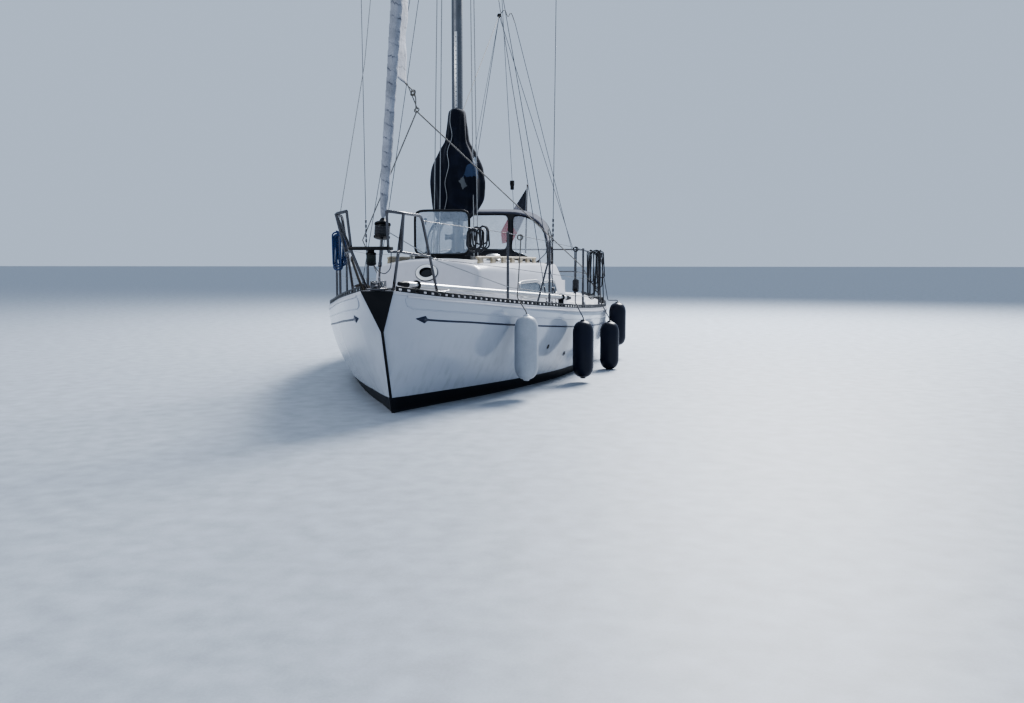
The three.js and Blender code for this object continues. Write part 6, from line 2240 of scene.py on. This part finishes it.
def make_hood():
    shell = bmesh.new()
    start, end = HOOD[0][0], HOOD[-1][0]
    patch(shell, 160, 84, lambda u, v: hood_point(start + v * (end - start), u), (2.6, 1.4))
    for pane in HOOD_PANES:
        cut_hole(shell, lambda p, pane=pane: pane_unit(pane, p),
                 lambda x, y, pane=pane: pane_place(pane, x, y), 9.0)
    hood = make("sprayhood_canvas", shell, "hood_canvas", stands_for=["sprayhood"], sharp=180, wall=0.002)
    binding, panes = bmesh.new(), bmesh.new()
    for pane in HOOD_PANES:
        loop = [pane_place(pane, x, y, 0.002) for x, y in squircle_loop(84, 9.0)]
        tube(binding, loop, 0.005, 6, up=(0.3, 0.2, 1), closed=True)
        patch(panes, 20, 20, lambda u, v, pane=pane: pane_place(pane, *squircle(u, v, 9.0), -0.001),
              (0.5, 0.4))
    for s in (HOOD[0][0] + 0.004, HOOD[-1][0] - 0.004):
        tube(binding, [hood_point(s, i / 60, 0.002) for i in range(61)], 0.008, 8)
    for t in (0.004, 0.996):
        tube(binding, [hood_point(start + (end - start) * i / 30, t, 0.004) for i in range(31)], 0.007, 8)
    make("sprayhood_binding", binding, "tape")
    window = make("sprayhood_panes", panes, "hood_pane", wall=-0.001)
    bows = bmesh.new()
    for s in (5.60, 5.95, 6.27):
        tube(bows, [hood_point(s, i / 60, -0.016) for i in range(61)], 0.010, 10)
    make("sprayhood_bows", bows, "steel")


class YACHT_OT_sprayhood(bpy.types.Operator):
    """Makes the sprayhood: canvas, clear panes, bindings and bows"""
    bl_idname = "yacht.sprayhood"
    bl_label = "Sprayhood"

    def execute(self, context):
        make_hood()
        return {"FINISHED"}


# Fenders

# Columns: s, half-breadth, height of the middle, length, s of the knot, finish
FENDERS = [(1.62, 1.022, 0.485, 0.64, 1.95, "grey_vinyl"), (3.00, 1.472, 0.360, 0.64, 3.55, "navy_vinyl"),
           (4.40, 1.696, 0.290, 0.60, 5.06, "navy_vinyl"), (5.90, 1.736, 0.460, 0.60, 6.35, "navy_vinyl")]

# Half of a fender's outline. Columns: radius, share of its length from the middle
FENDER_HALF = [(0.0, 0.485), (0.010, 0.485), (0.014, 0.498), (0.024, 0.497), (0.030, 0.485), (0.036, 0.474),
               (0.052, 0.466), (0.072, 0.448), (0.092, 0.412), (0.106, 0.360), (0.114, 0.295)]

# Share of the way aft to its knot at which a line crosses the deck edge, and the knot's radius
FENDER_LEAD = 0.2
KNOT_LOOP = 0.026


def make_fender(index, s, y, z, length, knot_s, look):
    bm, cords = bmesh.new(), bmesh.new()
    profile = [(r, -f * length) for r, f in FENDER_HALF] + [(r, f * length) for r, f in reversed(FENDER_HALF)]
    lathe(bm, profile, at(s, y, z), (0, 0, 1), 40)
    make(f"fender_{index}_body", bm, look, stands_for=[f"fender_{index}"], sharp=50)
    rail_half, rail_z = on_lifeline(1, knot_s)
    over = s + (knot_s - s) * FENDER_LEAD
    edge = at(over, beam(over) + 0.014, deck_z(over, beam(over)) + 0.060)
    top = at(knot_s, rail_half + 0.009, rail_z - 0.012)
    run = [at(s, y, z + length / 2 - 0.02), at(s, y, z + length / 2 + 0.02), edge, top,
           at(knot_s, rail_half + 0.006, rail_z + 0.008)]
    tube(cords, bent(run, 0.02, 4), 0.006, 8)
    knot = [at(knot_s + 0.016 - i * 0.0008, rail_half + KNOT_LOOP * math.cos(i * 0.40),
               rail_z + KNOT_LOOP * (math.sin(i * 0.40) - 0.6)) for i in range(44)]
    tube(cords, knot, 0.006, 8)
    if index == 2:
        along = (top - edge).normalized()
        across = along.orthogonal().normalized()
        foot = edge.lerp(top, 0.22)
        hank = [foot + along * 0.0012 * i + Matrix.Rotation(i * 0.6, 3, along) @ across * 0.030
                for i in range(110)]
        tube(cords, hank, 0.007, 8)
    make(f"fender_{index}_line", cords, "black_rope" if index > 1 else "grey_rope")


class YACHT_OT_fenders(bpy.types.Operator):
    """Makes the fenders and their lines"""
    bl_idname = "yacht.fenders"
    bl_label = "Fenders"

    def execute(self, context):
        for index, row in enumerate(FENDERS, 1):
            make_fender(index, *row)
        return {"FINISHED"}


# Rope coils

# Columns: node, ring widths, ring lengths, sideways spread and its rate, lean, thickness, turns,
# diameter, rope
COILS = [
    ("blue_rope_coil", 0.084, 0.072, 0.326, 0.250, 0.018, 0.5, 0.05, 0.056, 7, 0.013, "blue_rope"),
    ("black_rope_coil", 0.124, 0.096, 0.240, 0.175, 0.056, 1.0, 0.06, 0.066, 8, 0.0145, "black_rope"),
    ("dark_rope_coil", 0.098, 0.074, 0.620, 0.340, 0.070, 0.24, 0.050, 0.086, 11, 0.013, "black_rope"),
]


def ring_place(u, half, straight):
    """Way across and down on a long ring: a quarter bend, a leg, half a bend, a leg, a quarter bend"""
    if u > 0.5:
        across, down = ring_place(1.0 - u, half, straight)
        return -across, down
    if u < 0.2:
        angle = u / 0.2 * math.pi / 2
        return half * math.sin(angle), half * (1 - math.cos(angle))
    if u < 0.3:
        return half, half + straight * (u - 0.2) / 0.1
    angle = (u - 0.3) / 0.2 * math.pi / 2
    return half * math.cos(angle), half + straight + half * math.sin(angle)


def coil_path(middle, top, wide, narrow, long, short, spread, part, lean, thick, turns, diameter):
    """Turns of a hank hung from its top, side by side from ahead and along its thickness"""
    points = []
    steps = 40
    for i in range(turns * steps + 1):
        share = i / (turns * steps)
        turn = turns * share
        lap = int(turn)
        swell = 0.5 + 0.5 * math.sin(2.2 * lap + 1.0)
        half = (narrow + (wide - narrow) * swell - diameter) / 2
        length = short + (long - short) * (0.5 + 0.5 * math.sin(1.7 * lap + 0.6)) - diameter
        across, down = ring_place(turn % 1.0, half, length - 2 * half)
        dip = 0.018 * (1 - math.cos(1.1 * turn))
        side = spread * math.sin((turn - turns / 2) * part) + lean * down * math.sin(2.6 * lap + 0.4)
        points.append(Vector((middle.x + (0.5 - share) * (thick - diameter), middle.y + across + side,
                              top - diameter / 2 - dip - down)))
    return points


def path_length(points):
    return sum((b - a).length for a, b in zip(points, points[1:]))


def make_coil(node, wide, narrow, long, short, spread, part, lean, thick, turns, diameter, look):
    low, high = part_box(node)
    middle = (low + high) / 2
    points = coil_path(middle, high.z, wide, narrow, long, short, spread, part, lean, thick, turns, diameter)
    bm = bmesh.new()
    tube(bm, points, diameter / 2, 8)
    piece = make(f"{node}_turns", bm, look, stands_for=[node], sharp=60, slot=look)
    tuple(points[0])
    path_length(points)
    [list(p) for p in points]


class YACHT_OT_ropes(bpy.types.Operator):
    """Makes the rope coils on the rails"""
    bl_idname = "yacht.ropes"
    bl_label = "Rope coils"

    def execute(self, context):
        for row in COILS:
            make_coil(*row)
        return {"FINISHED"}


# Ensign and spinnaker pole

STAFF_LEAN = math.atan(0.2)
STAFF_LENGTH = 1.15

# Both edges of the furled ensign. Columns: y from the staff, distance up it
HOIST = [(-0.014, 1.075), (-0.014, 0.640), (-0.100, 0.430), (-0.215, 0.200), (-0.395, 0.160)]
FLY = [(-0.014, 1.075), (-0.130, 0.880), (-0.250, 0.690), (-0.420, 0.360), (-0.395, 0.160)]

# Both ends of the pole. Columns: s, y, z
POLE_ENDS = [(0.300, 0.100, 1.122), (3.500, 1.288, 0.893)]


def make_ensign():
    along = Vector((-math.sin(STAFF_LEAN), 0, math.cos(STAFF_LEAN)))
    rail_s = PUSHPIT_CORNER[0]
    rail_z = deck_z(rail_s, 0.9 * beam(rail_s)) + GUARD_HEIGHT + PUSHPIT_RISE
    foot = at(rail_s + 0.0145, 0.130, rail_z - 0.0588)
    head = foot + along * STAFF_LENGTH
    staff = bmesh.new()
    tube(staff, [foot, head], lambda t: 0.0130 - 0.004 * t, 12)
    lathe(staff, [(0.0, 0.0), (0.012, 0.004), (0.015, 0.012), (0.010, 0.020), (0.0, 0.024)],
          head - along * 0.022, along, 16)
    make("ensign_staff", staff, "dark_wood", stands_for=["flagstaff"])
    flag = bmesh.new()

    def edge(points, v):
        i = min(len(points) - 2, int(v * (len(points) - 1)))
        t = v * (len(points) - 1) - i
        return [a + t * (b - a) for a, b in zip(points[i], points[i + 1])]

    def place(u, v):
        (y0, up0), (y1, up1) = edge(HOIST, v), edge(FLY, v)
        fold = 0.011 * math.sin(u * 14 + v * 3.0) * (0.2 + u)
        return foot + along * (up0 + u * (up1 - up0)) + Vector((fold, y0 + u * (y1 - y0), 0))

    patch(flag, 40, 40, place)
    flag = make("ensign_flag", flag, "ensign_cloth", stands_for=["ensign"], sharp=180, wall=-0.0012)


def make_pole():
    a, b = (at(*end) for end in POLE_ENDS)
    bm, ends = bmesh.new(), bmesh.new()
    tube(bm, [a.lerp(b, 0.035), a.lerp(b, 0.965)], 0.0255, 28)
    along = (b - a).normalized()
    for point, way in ((a, along), (b, -along)):
        lathe(ends, [(0.0, 0.0), (0.012, 0.0), (0.018, 0.008), (0.020, 0.05), (0.0275, 0.07),
                     (0.0275, 0.13), (0.0, 0.13)], point, way, 24)
    for t in (0.08, 0.93):
        p = a.lerp(b, t)
        foot = deck_z(STEM_X - p.x, p.y)
        block(ends, (p.x - 0.02, p.y - 0.03, foot), (p.x + 0.02, p.y + 0.03, p.z - 0.012), 0.006)
        turns = [i * math.pi / 8 for i in range(16)]
        loop = [p + Vector((0, 0.031 * math.cos(turn), 0.031 * math.sin(turn))) for turn in turns]
        tube(ends, loop, 0.004, 8, up=(1, 0, 0), flat=3.0, closed=True)
    make("pole_tube", bm, "bright_alloy", stands_for=["spinnaker_pole"], sharp=50)
    make("pole_ends", ends, "black_trim", sharp=40)


class YACHT_OT_ensign_and_pole(bpy.types.Operator):
    """Makes the ensign on its staff and the stowed pole"""
    bl_idname = "yacht.ensign_and_pole"
    bl_label = "Ensign and pole"

    def execute(self, context):
        make_ensign()
        make_pole()
        return {"FINISHED"}


# The add-on

OPERATORS = [YACHT_OT_stage, YACHT_OT_ropes, YACHT_OT_hull, YACHT_OT_keels, YACHT_OT_deck,
             YACHT_OT_coachroof, YACHT_OT_fore_hatch, YACHT_OT_cockpit, YACHT_OT_bow, YACHT_OT_rails,
             YACHT_OT_spars, YACHT_OT_stays, YACHT_OT_running, YACHT_OT_headsail, YACHT_OT_sail_cover,
             YACHT_OT_sprayhood, YACHT_OT_fenders, YACHT_OT_ensign_and_pole]


class YACHT_PT_parts(bpy.types.Panel):
    """Lists the settings and the pieces of the yacht"""
    bl_label = "Sailing yacht"
    bl_idname = "YACHT_PT_parts"
    bl_space_type = "VIEW_3D"
    bl_region_type = "UI"
    bl_category = "Yacht"

    def draw(self, context):
        for key in SETTINGS:
            box = self.layout.box()
            group = getattr(context.scene, key)
            for name in group.__annotations__:
                box.prop(group, name)
        for operator in OPERATORS:
            self.layout.operator(operator.bl_idname)


def register():
    for cls in [*SETTINGS.values(), *OPERATORS, YACHT_PT_parts]:
        bpy.utils.register_class(cls)
    for key, cls in SETTINGS.items():
        setattr(bpy.types.Scene, key, PointerProperty(type=cls))


def unregister():
    for key in SETTINGS:
        delattr(bpy.types.Scene, key)
    for cls in [YACHT_PT_parts, *reversed(OPERATORS), *SETTINGS.values()]:
        bpy.utils.unregister_class(cls)


def main():
    register()
    for operator in OPERATORS:
        group, name = operator.bl_idname.split(".")
        getattr(getattr(bpy.ops, group), name)()


if __name__ == "__main__":
    main()
